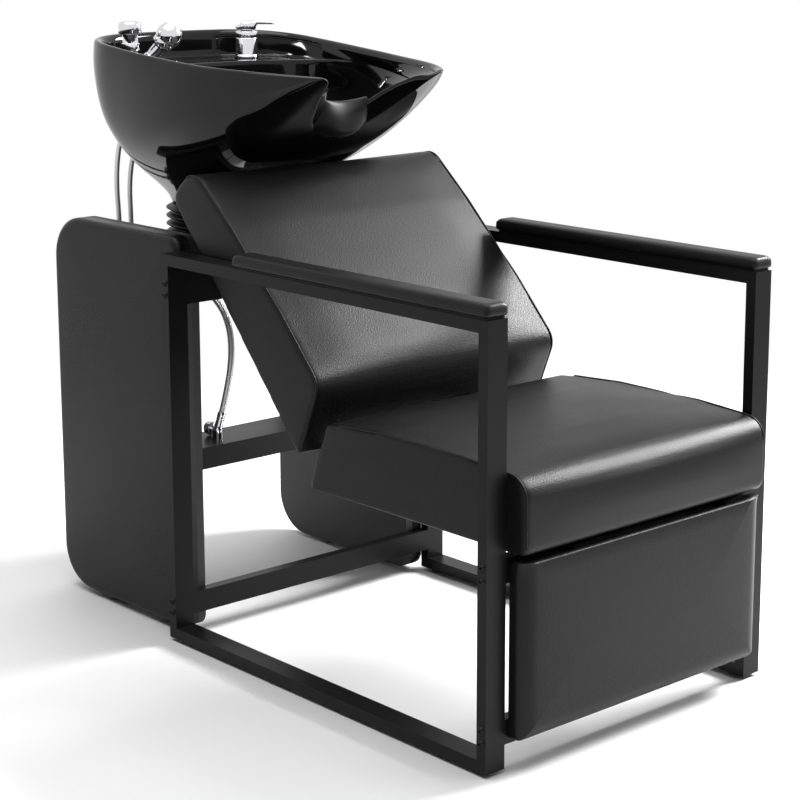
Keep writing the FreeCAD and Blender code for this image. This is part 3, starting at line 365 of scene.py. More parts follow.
def lathe(name, profile, base, axis=(0, 0, 1), steps=64, closed=False):
    """A surface turned about an axis through base; profile gives (radius, height) pairs."""
    turn = Vector((0, 0, 1)).rotation_difference(Vector(axis).normalized()).to_matrix()
    points = []
    for radius, height in profile:
        for step in range(steps):
            angle = 2 * math.pi * step / steps
            local = Vector((radius * math.cos(angle), radius * math.sin(angle), height)) / 1000
            points.append(base + turn @ local)
    faces = grid_faces(len(profile), steps, True) if closed else capped_faces(len(profile), steps)
    return mesh_piece(name, points, faces)


# Materials

def new_material(name):
    material = bpy.data.materials.new(name)
    material.use_nodes = True
    tree = material.node_tree
    return material, tree, tree.nodes["Principled BSDF"]


def mapped(tree, value, ends, start=(0.0, 1.0), kind="LINEAR"):
    """A value's range from start mapped to the given ends."""
    node = tree.nodes.new("ShaderNodeMapRange")
    node.interpolation_type = kind
    node.inputs["From Min"].default_value, node.inputs["From Max"].default_value = start
    node.inputs["To Min"].default_value, node.inputs["To Max"].default_value = ends
    tree.links.new(value, node.inputs["Value"])
    return node.outputs["Result"]


def larger(tree, first, second):
    node = tree.nodes.new("ShaderNodeMath")
    node.operation = "MAXIMUM"
    tree.links.new(first, node.inputs[0])
    tree.links.new(second, node.inputs[1])
    return node.outputs["Value"]


def two_toned(tree, shader, share, first, second):
    mix = tree.nodes.new("ShaderNodeMix")
    mix.data_type = "RGBA"
    mix.inputs["A"].default_value = first
    mix.inputs["B"].default_value = second
    tree.links.new(share, mix.inputs["Factor"])
    tree.links.new(mix.outputs["Result"], shader.inputs["Base Color"])


def bumped(tree, shader, height, strength, depth):
    bump = tree.nodes.new("ShaderNodeBump")
    bump.inputs["Strength"].default_value = strength
    bump.inputs["Distance"].default_value = depth
    tree.links.new(height, bump.inputs["Height"])
    tree.links.new(bump.outputs["Normal"], shader.inputs["Normal"])


def textured(name, colour, rough, spread, grain, depth, metallic=0.0, voronoi=False, cloud=9.0, specular=0.5):
    """A procedural finish: grain gives the bump's scale, depth its height, spread the roughness variation."""
    material, tree, shader = new_material(name)
    place = tree.nodes.new("ShaderNodeTexCoord")
    clouds = tree.nodes.new("ShaderNodeTexNoise")
    clouds.inputs["Scale"].default_value = cloud
    clouds.inputs["Detail"].default_value = CLOUD_DETAIL
    tree.links.new(place.outputs["Object"], clouds.inputs["Vector"])
    roughness = mapped(tree, clouds.outputs["Fac"], (rough - spread, rough + spread))
    tree.links.new(roughness, shader.inputs["Roughness"])
    lighter = [min(1.0, c * CLOUD_GAIN + CLOUD_LIFT) for c in colour]
    two_toned(tree, shader, clouds.outputs["Fac"], (*colour, 1), (*lighter, 1))
    if voronoi:
        fine = tree.nodes.new("ShaderNodeTexVoronoi")
        height = fine.outputs["Distance"]
    else:
        fine = tree.nodes.new("ShaderNodeTexNoise")
        fine.inputs["Detail"].default_value = GRAIN_DETAIL
        height = fine.outputs["Fac"]
    fine.inputs["Scale"].default_value = grain
    tree.links.new(place.outputs["Object"], fine.inputs["Vector"])
    bumped(tree, shader, height, GRAIN_BUMP, depth)
    shader.inputs["Metallic"].default_value = metallic
    shader.inputs["Specular IOR Level"].default_value = specular
    return material


def braided(name):
    """Woven wire: two crossing diagonal waves along the hose's own lengthwise map, with painted shade darkening the
    grooves between the wires.
    """
    material, tree, shader = new_material(name)
    place = tree.nodes.new("ShaderNodeUVMap")
    waves = []
    for turn in (-1, 1):
        mapping = tree.nodes.new("ShaderNodeMapping")
        mapping.inputs["Rotation"].default_value = (0, 0, turn * BRAID_ANGLE)
        tree.links.new(place.outputs["UV"], mapping.inputs["Vector"])
        wave = tree.nodes.new("ShaderNodeTexWave")
        wave.inputs["Scale"].default_value = BRAID_SCALE
        tree.links.new(mapping.outputs["Vector"], wave.inputs["Vector"])
        waves.append(wave.outputs["Fac"])
    height = larger(tree, *waves)
    tree.links.new(mapped(tree, height, BRAID_ROUGH), shader.inputs["Roughness"])
    # The colour follows the bump's height: painted shade, darker where the waves dip between the wires
    two_toned(tree, shader, height, BRAID_GROOVE_SHADE, BRAID_BRIGHT)
    bumped(tree, shader, height, BRAID_BUMP, BRAID_DEPTH)
    shader.inputs["Metallic"].default_value = BRAID_METAL
    return material


FINISHES = {
    "powder_black": textured("powder_black", (0.003, 0.003, 0.0031), 0.34, 0.05, 1600.0, 0.00012, specular=0.15),
    "leather_black": textured("leather_black", (0.0025, 0.0025, 0.0026), 0.38, 0.06, 480.0, 0.0006, voronoi=True,
                              specular=0.175),
    "board": textured("board", (0.012, 0.012, 0.012), 0.6, 0.06, 300.0, 0.0003),
    "basin_black": textured("basin_black", (0.0025, 0.0025, 0.0027), 0.05, 0.025, 14.0, 0.00008, specular=0.3),
    "rubber_black": textured("rubber_black", (0.006, 0.006, 0.006), 0.46, 0.06, 700.0, 0.00015, specular=0.18),
    "plastic_black": textured("plastic_black", (0.012, 0.012, 0.012), 0.5, 0.06, 500.0, 0.00012),
    "chrome": textured("chrome", (0.62, 0.62, 0.64), 0.08, 0.04, 40.0, 0.00005, metallic=1.0),
    "braid": braided("braid"),
    "zinc_steel": textured("zinc_steel", (0.5, 0.5, 0.5), 0.35, 0.08, 500.0, 0.0001, metallic=1.0),
    # Brass darkened well below its own colour: painted shade that dulls the manifold's glint under the basin
    "brass": textured("brass", (0.14, 0.115, 0.075), 0.4, 0.08, 300.0, 0.0001, metallic=1.0),
}


def finish_piece(piece, slot, body, nodes=()):
    piece.data.materials.clear()
    piece.data.materials.append(FINISHES[slot])
    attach(piece, body)
    if nodes:
        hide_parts(*nodes)
    return piece


# Basin

def ring_share(turn):
    """Width and length shares of the basin's outline; turn runs from 0 at the front middle to 1 at the rear middle."""
    last = len(RING) - 1
    mirrored = [(-RING[1][0], RING[1][1])] + list(RING) + [(-RING[-2][0], RING[-2][1])]
    return curve_through(mirrored, 1 + turn * last)


def ring_point(turn, side, height, wide, front, rear, soft, slope):
    """A point of a level's outline; soft blends the rim's outline into an ellipse."""
    u, v = ring_share(turn)
    angle = math.pi * turn
    across = (1 - soft) * u + soft * math.sin(angle)
    along = (1 - soft) * v + soft * (1 - math.cos(angle)) / 2
    y = front + along * (rear - front)
    return Vector((side * across * wide, y, height + slope * (y - RIM_REFERENCE)))


def outer_line(turn, side):
    """The outside's points at a turn, level by level, with the fuller cheek below each wing."""
    line = []
    front, middle, rear = CHEEK_TURNS
    low, lower, upper, high = CHEEK_LEVELS
    for tall, wide, ahead, behind, soft, slope in OUTER_LEVELS:
        point = ring_point(turn, side, BASIN_FOOT + tall * BASIN_TALL, wide * BASIN_HALF,
                           BASIN_FRONT + ahead * (PIVOT_Y - BASIN_FRONT),
                           BASIN_REAR - behind * (BASIN_REAR - PIVOT_Y), soft, slope * RIM_SLOPE)
        full = smooth_step(front, middle, turn) * smooth_step(rear, middle, turn)
        full *= smooth_step(low, lower, tall) * smooth_step(high, upper, tall)
        lift = WING_LIFT * smooth_step(*WING_LIFT_LEVELS, tall) * smooth_step(WING_RISE, BASIN_FRONT, point.y)
        line.append(point + Vector((side * CHEEK[0] * full, CHEEK[1] * full, lift)))
    return line


def bowl_line(turn, side):
    inside = BASIN_HALF - RIM_WALL
    deep = RIM_HEIGHT - BOWL_FLOOR
    return [ring_point(turn, side, BOWL_FLOOR + tall * deep, wide * inside,
                       BASIN_FRONT + ahead * (PIVOT_Y - BASIN_FRONT), PIVOT_Y + behind * (DECK_FRONT - PIVOT_Y),
                       soft, slope * RIM_SLOPE) for tall, wide, ahead, behind, soft, slope in BOWL_LEVELS]


def smooth_step(low, high, value):
    t = min(1.0, max(0.0, (value - low) / (high - low)))
    return t * t * (3 - 2 * t)


def eased(value, reach):
    """A ramp from zero whose start is rounded over a reach to both sides."""
    if value < -reach:
        return 0.0
    if value < reach:
        return (value + reach) ** 2 / (4 * reach)
    return value


def wing_ramp(turn):
    """Place along a wing's straight front edge: 0 where it leaves the neck lip, 1 at its tip."""
    u = ring_share(turn)[0] if turn < 0.5 else 1.0
    return (u - NECK_FLAT) / (NECK_TIP - NECK_FLAT)


def top_share(turn):
    """How high the shell reaches at a turn: full round the rim, dipping between the wings to the neck lip."""
    ramp = wing_ramp(turn)
    return NECK_SHARE + (1 - NECK_SHARE) * (eased(ramp, WING_EASE) - eased(ramp - 1, TIP_EASE))


def level_place(levels, share):
    """Where along a list of levels a height share lies, counted in levels."""
    for index in range(len(levels) - 1):
        low = levels[index][0]
        high = levels[index + 1][0]
        if share <= high:
            return index + (share - low) / (high - low)
    return len(levels) - 1.0


def basin_grid():
    """The shell's points row by row, and the numbers of rows and columns."""
    turns = [FRONT_TURN * index / FRONT_COLUMNS for index in range(FRONT_COLUMNS)]
    turns += [FRONT_TURN + (1 - FRONT_TURN) * index / REAR_COLUMNS for index in range(REAR_COLUMNS + 1)]
    around = [(t, 1) for t in turns] + [(t, -1) for t in turns[-2:0:-1]]
    columns = [shell_column(t, side) for t, side in around]
    rows = len(columns[0])
    points = [at(*column[r]) for r in range(rows) for column in columns]
    return points, rows, len(columns)


def shell_column(turn, side):
    """One column of the closed shell: outside, rounded rim, rear deck or lip, and inside down to the drain."""
    share = top_share(turn)
    outside = outer_line(turn, side)
    top_place = level_place(OUTER_LEVELS, share)
    outer = [Vector(curve_through(outside, top_place * row / (OUTER_ROWS - 1))) for row in range(OUTER_ROWS)]
    tip = outer[-1]
    inside = bowl_line(turn, side)

    def bowl_at(height):
        low = 0.0
        high = len(BOWL_LEVELS) - 1.0
        for _ in range(SEARCH_STEPS):
            middle = (low + high) / 2
            if curve_through(inside, middle)[2] < height:
                low = middle
            else:
                high = middle
        return Vector(curve_through(inside, low)), low

    rear = smooth_step(*DECK_TURNS, turn)
    recess = ring_point(turn, side, RIM_HEIGHT, BASIN_HALF - RIM_WALL, BASIN_FRONT + RIM_INSET,
                        BASIN_REAR - RIM_WALL, RIM_SOFT, RIM_SLOPE)
    recess.z = tip.z - RIM_TURN
    inward = recess - tip
    rim = inward.normalized() * min(inward.length, RIM_WALL * RIM_REACH)
    rim.z = -RIM_TURN
    ramp = wing_ramp(turn)
    band = wing_band(ramp)
    band.x *= side
    round_rim = smooth_step(*ROUND_RIM, ramp)
    wall = tip + band.lerp(rim, round_rim)
    shelf = min(DECK_HEIGHT, tip.z - LIP_TURN)
    lip, place = bowl_at(shelf)
    ledge = lip.lerp(Vector((wall.x, wall.y, shelf)), rear)
    upper = [wall.lerp(ledge, step / WALL_ROWS) for step in range(WALL_ROWS)]
    shares = [0.5 - 0.5 * math.cos(math.pi * step / DECK_ROWS) for step in range(1, DECK_ROWS + 1)]
    flat = [ledge.lerp(lip, share) for share in shares]
    flat = [p + Vector((0, 0, -LIP_DROP * step * (1 - rear))) for step, p in enumerate(flat)]
    bowl = [Vector(curve_through(inside, place * (1 - row / BOWL_ROWS))) for row in range(1, BOWL_ROWS + 1)]
    return outer + rounded_edge(outer[-2], tip, wall, round_rim) + upper + flat + bowl


def wing_band(ramp):
    """From the outer to the inner border of the thick front edge, along a wing, for the left side."""
    steps = (NECK_BAND,) + WING_BANDS
    place = min(len(steps) - 1.0, max(0.0, (ramp + WING_STEP) / WING_STEP))
    return Vector(curve_through(steps, place))


def rounded_edge(below, tip, wall, round_rim):
    """Points of the thick rounded edge between the outside's top and the inner wall's top."""
    up = (tip - below).normalized()
    high = (wall - tip).length * 0.5
    full = EDGE_FULL + (1 - EDGE_FULL) * round_rim
    over = tip + up * high * full
    inside = wall + Vector((0, -high * EDGE_SWELL * (1 - round_rim), (high + RIM_TURN * EDGE_SWELL) * round_rim))
    points = []
    for step in range(1, EDGE_ROWS):
        t = step / EDGE_ROWS
        s = 1 - t
        points.append(tip * s ** 3 + over * 3 * s * s * t + inside * 3 * s * t * t + wall * t ** 3)
    return points


def make_basin():
    """The closed shell, with the lumps between its levels eased on the front of its outside."""
    points, rows, columns = basin_grid()
    basin = mesh_piece("basin_shell", points, grid_faces(rows, columns, True))
    finish_piece(basin, "basin_black", "basin_unit", ["basin", "collar"])
    group = basin.vertex_groups.new(name="outside")
    low, lower, upper, high = EASED_ROWS
    for row in range(OUTER_ROWS):
        inner = smooth_step(low, lower, row) * smooth_step(high, upper, row)
        for c in range(columns):
            ahead = smooth_step(*EASED_TURNS, min(c, columns - c) / columns)
            group.add([row * columns + c], inner * ahead, "REPLACE")
    ease = basin.modifiers.new("ease", "SMOOTH")
    ease.vertex_group = "outside"
    ease.factor = OUTSIDE_EASE
    ease.iterations = OUTSIDE_PASSES
    subdivide(basin)


# Upholstery

def rounded_path(points, radii):
    """A line in the YZ plane whose inner corners are arcs of the given radii."""
    path = [Vector(points[0])]
    for before, corner, after, radius in zip(points, points[1:], points[2:], radii):
        corner = Vector(corner)
        into = (Vector(before) - corner).normalized()
        out = (Vector(after) - corner).normalized()
        opening = into.angle(out)
        reach = radius / math.tan(opening / 2)
        start = corner + into * reach
        centre = corner + (into + out).normalized() * (radius / math.sin(opening / 2))
        first = start - centre
        last = corner + out * reach - centre
        sweep = first.angle_signed(last)
        for step in range(TURN_STEPS + 1):
            angle = -sweep * step / TURN_STEPS
            turned = Vector((first.x * math.cos(angle) - first.y * math.sin(angle),
                             first.x * math.sin(angle) + first.y * math.cos(angle)))
            path.append(centre + turned)
    path.append(Vector(points[-1]))
    return path


def crowned(start, end, crown):
    """The two points that bow a straight cushion edge outwards, and their arc radius."""
    along = Vector(end) - Vector(start)
    out = Vector((along.y, -along.x)).normalized()
    points = [tuple(Vector(start) + along * share + out * crown) for share in BOW_SHARES]
    return points, along.length * BOW_RADIUS


def seat_edge():
    """The seam line of the seat's side: along the bowed top and down the front."""
    rear, front, low = SEAT_EDGE
    bow, radius = crowned(rear, front, SEAT_CROWN)
    return rounded_path([rear] + bow + [front, low], [radius, radius, SEAT_TURN])


def back_edge():
    """The seam line of the back's side: over the top, down the bowed front and under the lumbar turn."""
    rear, top, lumbar, low = BACK_EDGE
    bow, radius = crowned(top, lumbar, BACK_CROWN)
    return rounded_path([rear, top] + bow + [lumbar, low], [BACK_TOP_TURN, radius, radius, BACK_TURN])


def tube_along(name, path, radius, sides=12):
    """A capped tube along points, with a lengthwise map in diameters."""
    points = []
    turns = []
    run = 0.0
    runs = []
    normal = None
    for index, point in enumerate(path):
        ahead = path[min(index + 1, len(path) - 1)] - path[max(index - 1, 0)]
        ahead.normalize()
        if normal is None:
            normal = ahead.orthogonal().normalized()
        normal = (normal - ahead * normal.dot(ahead)).normalized()
        across = ahead.cross(normal)
        if index:
            run += (point - path[index - 1]).length
        runs.append(run)
        for side in range(sides):
            angle = 2 * math.pi * side / sides
            points.append(point + (normal * math.cos(angle) + across * math.sin(angle)) * radius)
    tube = mesh_piece(name, points, capped_faces(len(path), sides))
    layer = tube.data.uv_layers.new(name="along")
    for polygon in tube.data.polygons:
        columns = [tube.data.loops[k].vertex_index % sides for k in polygon.loop_indices]
        wraps = max(columns) == sides - 1 and min(columns) == 0
        for k, column in zip(polygon.loop_indices, columns):
            row = tube.data.loops[k].vertex_index // sides
            around = sides if wraps and column == 0 else column
            layer.data[k].uv = (around / sides * math.pi, runs[row] / (2 * radius))
    return tube


def soft_copy(name, node, voxel):
    """An even, slightly rounded copy of a padded CAD node."""
    piece = link(name, NODES[node].data.copy())
    even = piece.modifiers.new("even", "REMESH")
    even.mode = "VOXEL"
    even.voxel_size = voxel
    ease = piece.modifiers.new("ease", "SMOOTH")
    ease.factor = EASE_FACTOR
    ease.iterations = EASE_PASSES
    bake(piece)
    return piece


def bake(piece):
    """Makes a piece's modifiers part of its mesh."""
    whole = bpy.context.evaluated_depsgraph_get()
    done = bpy.data.meshes.new_from_object(piece.evaluated_get(whole))
    piece.modifiers.clear()
    piece.data = done
    for polygon in done.polygons:
        polygon.use_smooth = True


def evened(piece, steps):
    """The points' steps averaged with their neighbours' a few times, so that the cover keeps no creases."""
    for _ in range(EVEN_PASSES):
        total = [step.copy() for step in steps]
        count = [1] * len(steps)
        for edge in piece.data.edges:
            a, b = edge.vertices
            total[a] += steps[b]
            total[b] += steps[a]
            count[a] += 1
            count[b] += 1
        steps = [step / number for step, number in zip(total, count)]
    return steps


def inflate(piece, held):
    """Presses the foam out against the cover with a short cloth run; no point moves further than CLOTH_CAP."""
    group = piece.vertex_groups.new(name="held")
    group.add([v.index for v in piece.data.vertices if held(v.co)], 1.0, "REPLACE")
    before = [v.co.copy() for v in piece.data.vertices]
    cover = piece.modifiers.new("cover", "CLOTH")
    cover.settings.quality = CLOTH_QUALITY
    cover.settings.use_pressure = True
    cover.settings.uniform_pressure_force = CLOTH_PRESSURE
    cover.settings.effector_weights.gravity = 0.0
    cover.settings.vertex_group_mass = "held"
    cover.point_cache.frame_start = 1
    cover.point_cache.frame_end = CLOTH_FRAMES
    for number in range(1, CLOTH_FRAMES + 1):
        SCENE.frame_set(number)
    bake(piece)
    SCENE.frame_set(1)
    steps = [vertex.co - start for vertex, start in zip(piece.data.vertices, before)]
    steps = [step * min(1.0, CLOTH_CAP / max(step.length, 1e-9)) for step in steps]
    for vertex, start, step in zip(piece.data.vertices, before, evened(piece, steps)):
        vertex.co = start + step
    piece.vertex_groups.clear()


def dress(piece, node, body):
    finish_piece(piece, "leather_black", body, [node])


def held_points(lines, rest):
    """A test whether a point stays put in the cloth run: close to a seam, or on a face that rests on a board."""
    def on_rest(point):
        place = Vector((point.y * 1000 + MIDDLE, point.z * 1000))
        for start, end in zip(rest, rest[1:]):
            a = Vector(start)
            along = Vector(end) - a
            share = min(1.0, max(0.0, (place - a).dot(along) / along.length_squared))
            if (place - a - along * share).length < REST_REACH:
                return True
        return False

    def test(point):
        return on_rest(point) or any((point - q).length < SEAM_REACH for line in lines for q in line)
    return test


def seam_lines(edge):
    """A cushion's seam on both sides, as points of the shared frame a few millimetres apart."""
    dense = []
    for a, b in zip(edge, edge[1:]):
        count = max(1, int((b - a).length / SEAM_STEP))
        dense += [a.lerp(b, k / count) for k in range(count)]
    dense.append(edge[-1])
    middle = sum(dense, Vector((0, 0))) / len(dense)
    sunk = [p + (middle - p).normalized() * PIPING_SINK for p in dense]
    return [[at(side * (CUSHION_HALF - PIPING_INSET), p.x, p.y) for p in sunk] for side in (-1, 1)]


def make_cushion(node, edge, rest):
    """A cushion's cover, filled out from its CAD node, with piping along the seams of its sides."""
    lines = seam_lines(edge)
    piece = soft_copy(node + "_cover", node, CUSHION_VOXEL)
    inflate(piece, held_points(lines, rest))
    subdivide(piece)
    dress(piece, node, "base")
    rear, front = SEAM_TRIM
    for word, line in zip(("right", "left"), lines):
        piping = tube_along(f"{node}_piping_{word}", line[rear:-front], PIPING_RADIUS / 1000, PIPING_SIDES)
        finish_piece(piping, "leather_black", "base")


def rounded_ring(low, high, radii, inset):
    """A rectangle with four corner radii, from the low corner round, drawn in by an inset."""
    corners = [(low[0], low[1]), (high[0], low[1]), (high[0], high[1]), (low[0], high[1])]
    arcs = []
    for index, ((x, y), radius) in enumerate(zip(corners, radii)):
        reach = max(radius - inset, SHARP_CORNER)
        side_x = 1 if x == low[0] else -1
        side_y = 1 if y == low[1] else -1
        centre = (x + side_x * (inset + reach), y + side_y * (inset + reach))
        angles = [math.pi * (1 + (index + step / CORNER_STEPS) / 2) for step in range(CORNER_STEPS + 1)]
        arcs.append([Vector((centre[0] + reach * math.cos(a), centre[1] + reach * math.sin(a))) for a in angles])
    points = []
    for arc, following in zip(arcs, arcs[1:] + arcs[:1]):
        points += arc + [arc[-1].lerp(following[0], step / SIDE_STEPS) for step in range(1, SIDE_STEPS)]
    return points


def crowned_pad(name, low, high, radii, thick, edge, turn, crown, place):
    """A pad on a flat back: its edges turn over softly and its face bulges; place maps (u, v, depth) to a point."""
    reach = min(high[0] - low[0], high[1] - low[1]) / 2 - MIDDLE_STRIP
    insets = [turn * (1 - math.cos(math.pi / 2 * k / TURN_STEPS)) for k in range(TURN_STEPS + 1)]
    insets += [turn + (reach - turn) * k / FACE_STEPS for k in range(1, FACE_STEPS + 1)]
    rings = [[place(u, v, 0.0) for u, v in rounded_ring(low, high, radii, 0.0)]]
    for inset in insets:
        share = min(1.0, inset / turn)
        rise = edge + (thick - crown - edge) * math.sqrt(1 - (1 - share) ** 2)
        rise += crown * (1 - (1 - inset / reach) ** 2)
        rings.append([place(u, v, rise) for u, v in rounded_ring(low, high, radii, inset)])
    return mesh_piece(name, [point for ring in rings for point in ring], capped_faces(len(rings), len(rings[0])))


def block(name, low, high):
    corners = [(x, y, z) for z in (low[2], high[2]) for y in (low[1], high[1]) for x in (low[0], high[0])]
    faces = [(0, 2, 3, 1), (4, 5, 7, 6), (0, 1, 5, 4), (2, 6, 7, 3), (0, 4, 6, 2), (1, 3, 7, 5)]
    return mesh_piece(name, [at(*corner) for corner in corners], faces)


def cut_hinge_notches(pad):
    """Opens the pad's top round each hinge arm, so that the arm has room through the whole swing."""
    y, z = LEG_PIVOT
    cutters = []
    for side in (-1, 1):
        x = side * HINGE_PLACE
        cutters.append(block("notch", (x - HINGE_HALF, y - HINGE_ARM, z - HINGE_ROOM),
                             (x + HINGE_HALF, LEG_REAR + NOTCH_PAST, LEG_HEIGHTS[1] + NOTCH_PAST)))
        hub = [(HINGE_ROOM, -HINGE_HALF), (HINGE_ROOM, HINGE_HALF)]
        cutters.append(lathe("hub_room", hub, at(x, y, z), (1, 0, 0)))
    for cutter in cutters:
        cut = pad.modifiers.new("notch", "BOOLEAN")
        cut.operation = "DIFFERENCE"
        cut.solver = "EXACT"
        cut.object = cutter
    bake(pad)
    pad.data.set_sharp_from_angle(angle=NOTCH_SHARP)
    for cutter in cutters:
        bpy.data.objects.remove(cutter)


def make_leg_rest():
    """The leg pad: its top edge turns over more sharply, and its rear is drawn in for the swing under the seat."""
    def place(u, v, depth):
        below = LEG_HEIGHTS[1] - v
        tall = (LEG_HEIGHTS[1] - LEG_HEIGHTS[0]) / 2
        if below < LEG_TURN:
            v += below * (1 - LEG_TOP_TURN / LEG_TURN)
        elif below < tall:
            v += (LEG_TURN - LEG_TOP_TURN) * (tall - below) / (tall - LEG_TURN)
        over = max(0.0, v - LEG_PIVOT[1])
        rear = min(LEG_REAR, LEG_PIVOT[0] + math.sqrt(max(0.0, LEG_SWING ** 2 - over ** 2)))
        return at(u, rear - depth * (LEG_THICK + rear - LEG_REAR) / LEG_THICK, v)
    pad = crowned_pad("leg_rest_cover", (-LEG_HALF, LEG_HEIGHTS[0]), (LEG_HALF, LEG_HEIGHTS[1]), LEG_CORNERS,
                      LEG_THICK, LEG_EDGE, LEG_TURN, LEG_CROWN, place)
    cut_hinge_notches(pad)
    dress(pad, "leg_rest_pad", "leg_rest")


def make_panels():
    for word, side in (("right", -1), ("left", 1)):
        def place(u, v, depth):
            return at(side * (PANEL_SPLIT + depth), u, v)
        pad = crowned_pad(f"panel_cover_{word}", (PANEL_RUN[0], PANEL_HEIGHTS[0]), (PANEL_RUN[1], PANEL_HEIGHTS[1]),
                          PANEL_CORNERS, PANEL_THICK, PANEL_EDGE, PANEL_TURN, PANEL_CROWN, place)
        dress(pad, f"panel_pad_{word}", "base")


def make_upholstery():
    make_cushion("seat_cushion", seat_edge(), SEAT_REST)
    make_cushion("back_cushion", back_edge(), BACK_REST)
    make_leg_rest()
    make_panels()
    for word in ("left", "right"):
        node = f"arm_pad_{word}"
        dress(soft_copy(f"arm_cover_{word}", node, ARM_VOXEL), node, "base")


# Neck rest and bellows

def neck_line(ends, middle, a):
    """A point of a curve from side to side through its middle; ends is its left end."""
    across = a * a
    return Vector((ends[0] * a, middle[1] + (ends[1] - middle[1]) * across, middle[2] + (ends[2] - middle[2]) * across))


def make_neck_rest():
    """A rubber saddle on the lip, flush with the wings' thick edges at its ends and bulging below its middle."""
    points = []
    for row in range(NECK_ROWS + 1):
        a = -1 + 2 * row / NECK_ROWS
        low = neck_line(*NECK_LOW, a)
        top = neck_line(*NECK_TOP, a)
        out = NECK_OUT * (NECK_THIN + NECK_BULGE * (1 - abs(a) ** NECK_SWELL))
        back = Vector((0, NECK_DEPTH, 0))
        section = [low, low.lerp(top, 0.1) + out * 0.62, low.lerp(top, 0.32) + out, low.lerp(top, 0.6) + out * 0.86,
                   low.lerp(top, 0.86) + out * 0.42, top + Vector((0, 0, 1)), top + back * 0.35,
                   top + back * 0.8 - Vector((0, 0, 8)), top.lerp(low, 0.5) + back * 0.9, low + back * 0.5]
        loop = [section[-1]] + section + section[:2]
        places = [1 + side * len(section) / NECK_SIDES for side in range(NECK_SIDES)]
        points += [at(*curve_through(loop, place)) for place in places]
    pad = mesh_piece("neck_saddle", points, capped_faces(NECK_ROWS + 1, NECK_SIDES))
    finish_piece(pad, "rubber_black", "basin_unit", ["neck_rest"])


def make_bellows():
    """Soft rounded folds between the carrier and the collar."""
    outer = []
    for step in range(BELLOWS_STEPS + 1):
        share = step / BELLOWS_STEPS
        wave = 0.5 - 0.5 * math.cos(2 * math.pi * BELLOWS_RIBS * share)
        outer.append((BELLOWS_IN + (BELLOWS_OUT - BELLOWS_IN) * wave, BELLOWS_LOW + share * BELLOWS_TALL))
    inner = [(radius - BELLOWS_WALL, height) for radius, height in reversed(outer)]
    gaiter = lathe("bellows_folds", outer + inner, at(0, PIVOT_Y, 0), steps=BELLOWS_SIDES, closed=True)
    gaiter.data.materials.append(FINISHES["rubber_black"])
    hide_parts("bellows")
    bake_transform(gaiter)


# Taps

def lever_section(along):
    """Half-width, underside and top of the mixer's lever at a place along it."""
    if along < HOOD_END:
        wide = math.sqrt(max(HOOD_HEEL ** 2, MIXER_RADIUS ** 2 - along ** 2))
    else:
        root, end = BLADE_HALF
        wide = root + (end - root) * smooth_step(*BLADE_TAPER, along)
    wide *= math.sqrt(max(BLADE_END_SHARE, 1 - smooth_step(*BLADE_END, along) ** 2))
    under = BLADE_LIFT * smooth_step(*BLADE_LIFT_RUN, along) + HEEL_LIFT * smooth_step(*HEEL_RUN, along)
    top = HOOD_TOP + HOOD_RISE * smooth_step(*HOOD_RISE_RUN, along) - BLADE_DROP * smooth_step(*BLADE_DROP_RUN, along)
    return wide, under, top


def make_mixer():
    """The stout mixer body with its base ring, its turning head and the hood that runs out into a flat blade."""
    r = MIXER_RADIUS
    deck = at(*MIXER, DECK_HEIGHT)
    body = TAIL + [(r + 0.5, -11), (r + 0.5, 0.2), (r + 2, 0.4), (r + 2.2, 3), (r + 1.6, 5.4), (r + 0.4, 6.2),
                   (r + 0.2, 8), (r - 0.6, 38), (r - 1, 39.6), (r - 2, 40)]
    finish_piece(lathe("mixer_stem", body, deck), "chrome", "basin_unit", ["mixer_body"])
    head = [(r - 2, 40.4), (r - 0.7, 40.8), (r - 0.4, 42), (r - 0.4, 51.4), (r - 0.7, 52.2), (r - 2, 52.4)]
    finish_piece(lathe("mixer_turret", head, deck), "chrome", "mixer_turn", ["mixer_head"])
    points = []
    ahead = Vector((math.cos(LEVER_TURN), math.sin(LEVER_TURN), 0))
    across = Vector((-ahead.y, ahead.x, 0))
    base = Vector((*MIXER, LEVER_LOW))
    for row in range(LEVER_ROWS + 1):
        along = -r + LEVER_REAR_GAP + (LEVER_REACH + r - LEVER_REAR_GAP) * row / LEVER_ROWS
        wide, under, top = lever_section(along)
        middle = (under + top) / 2
        for side in range(LEVER_SIDES):
            angle = 2 * math.pi * side / LEVER_SIDES
            c = math.cos(angle)
            d = math.sin(angle)
            x = math.copysign(abs(c) ** LEVER_SQUARE, c) * wide
            z = middle + math.copysign(abs(d) ** LEVER_SQUARE, d) * (top - under) / 2
            points.append(at(*(base + ahead * along + across * x + Vector((0, 0, z)))))
    blade = mesh_piece("mixer_blade", points, capped_faces(LEVER_ROWS + 1, LEVER_SIDES))
    finish_piece(blade, "chrome", "mixer_handle", ["mixer_lever"])


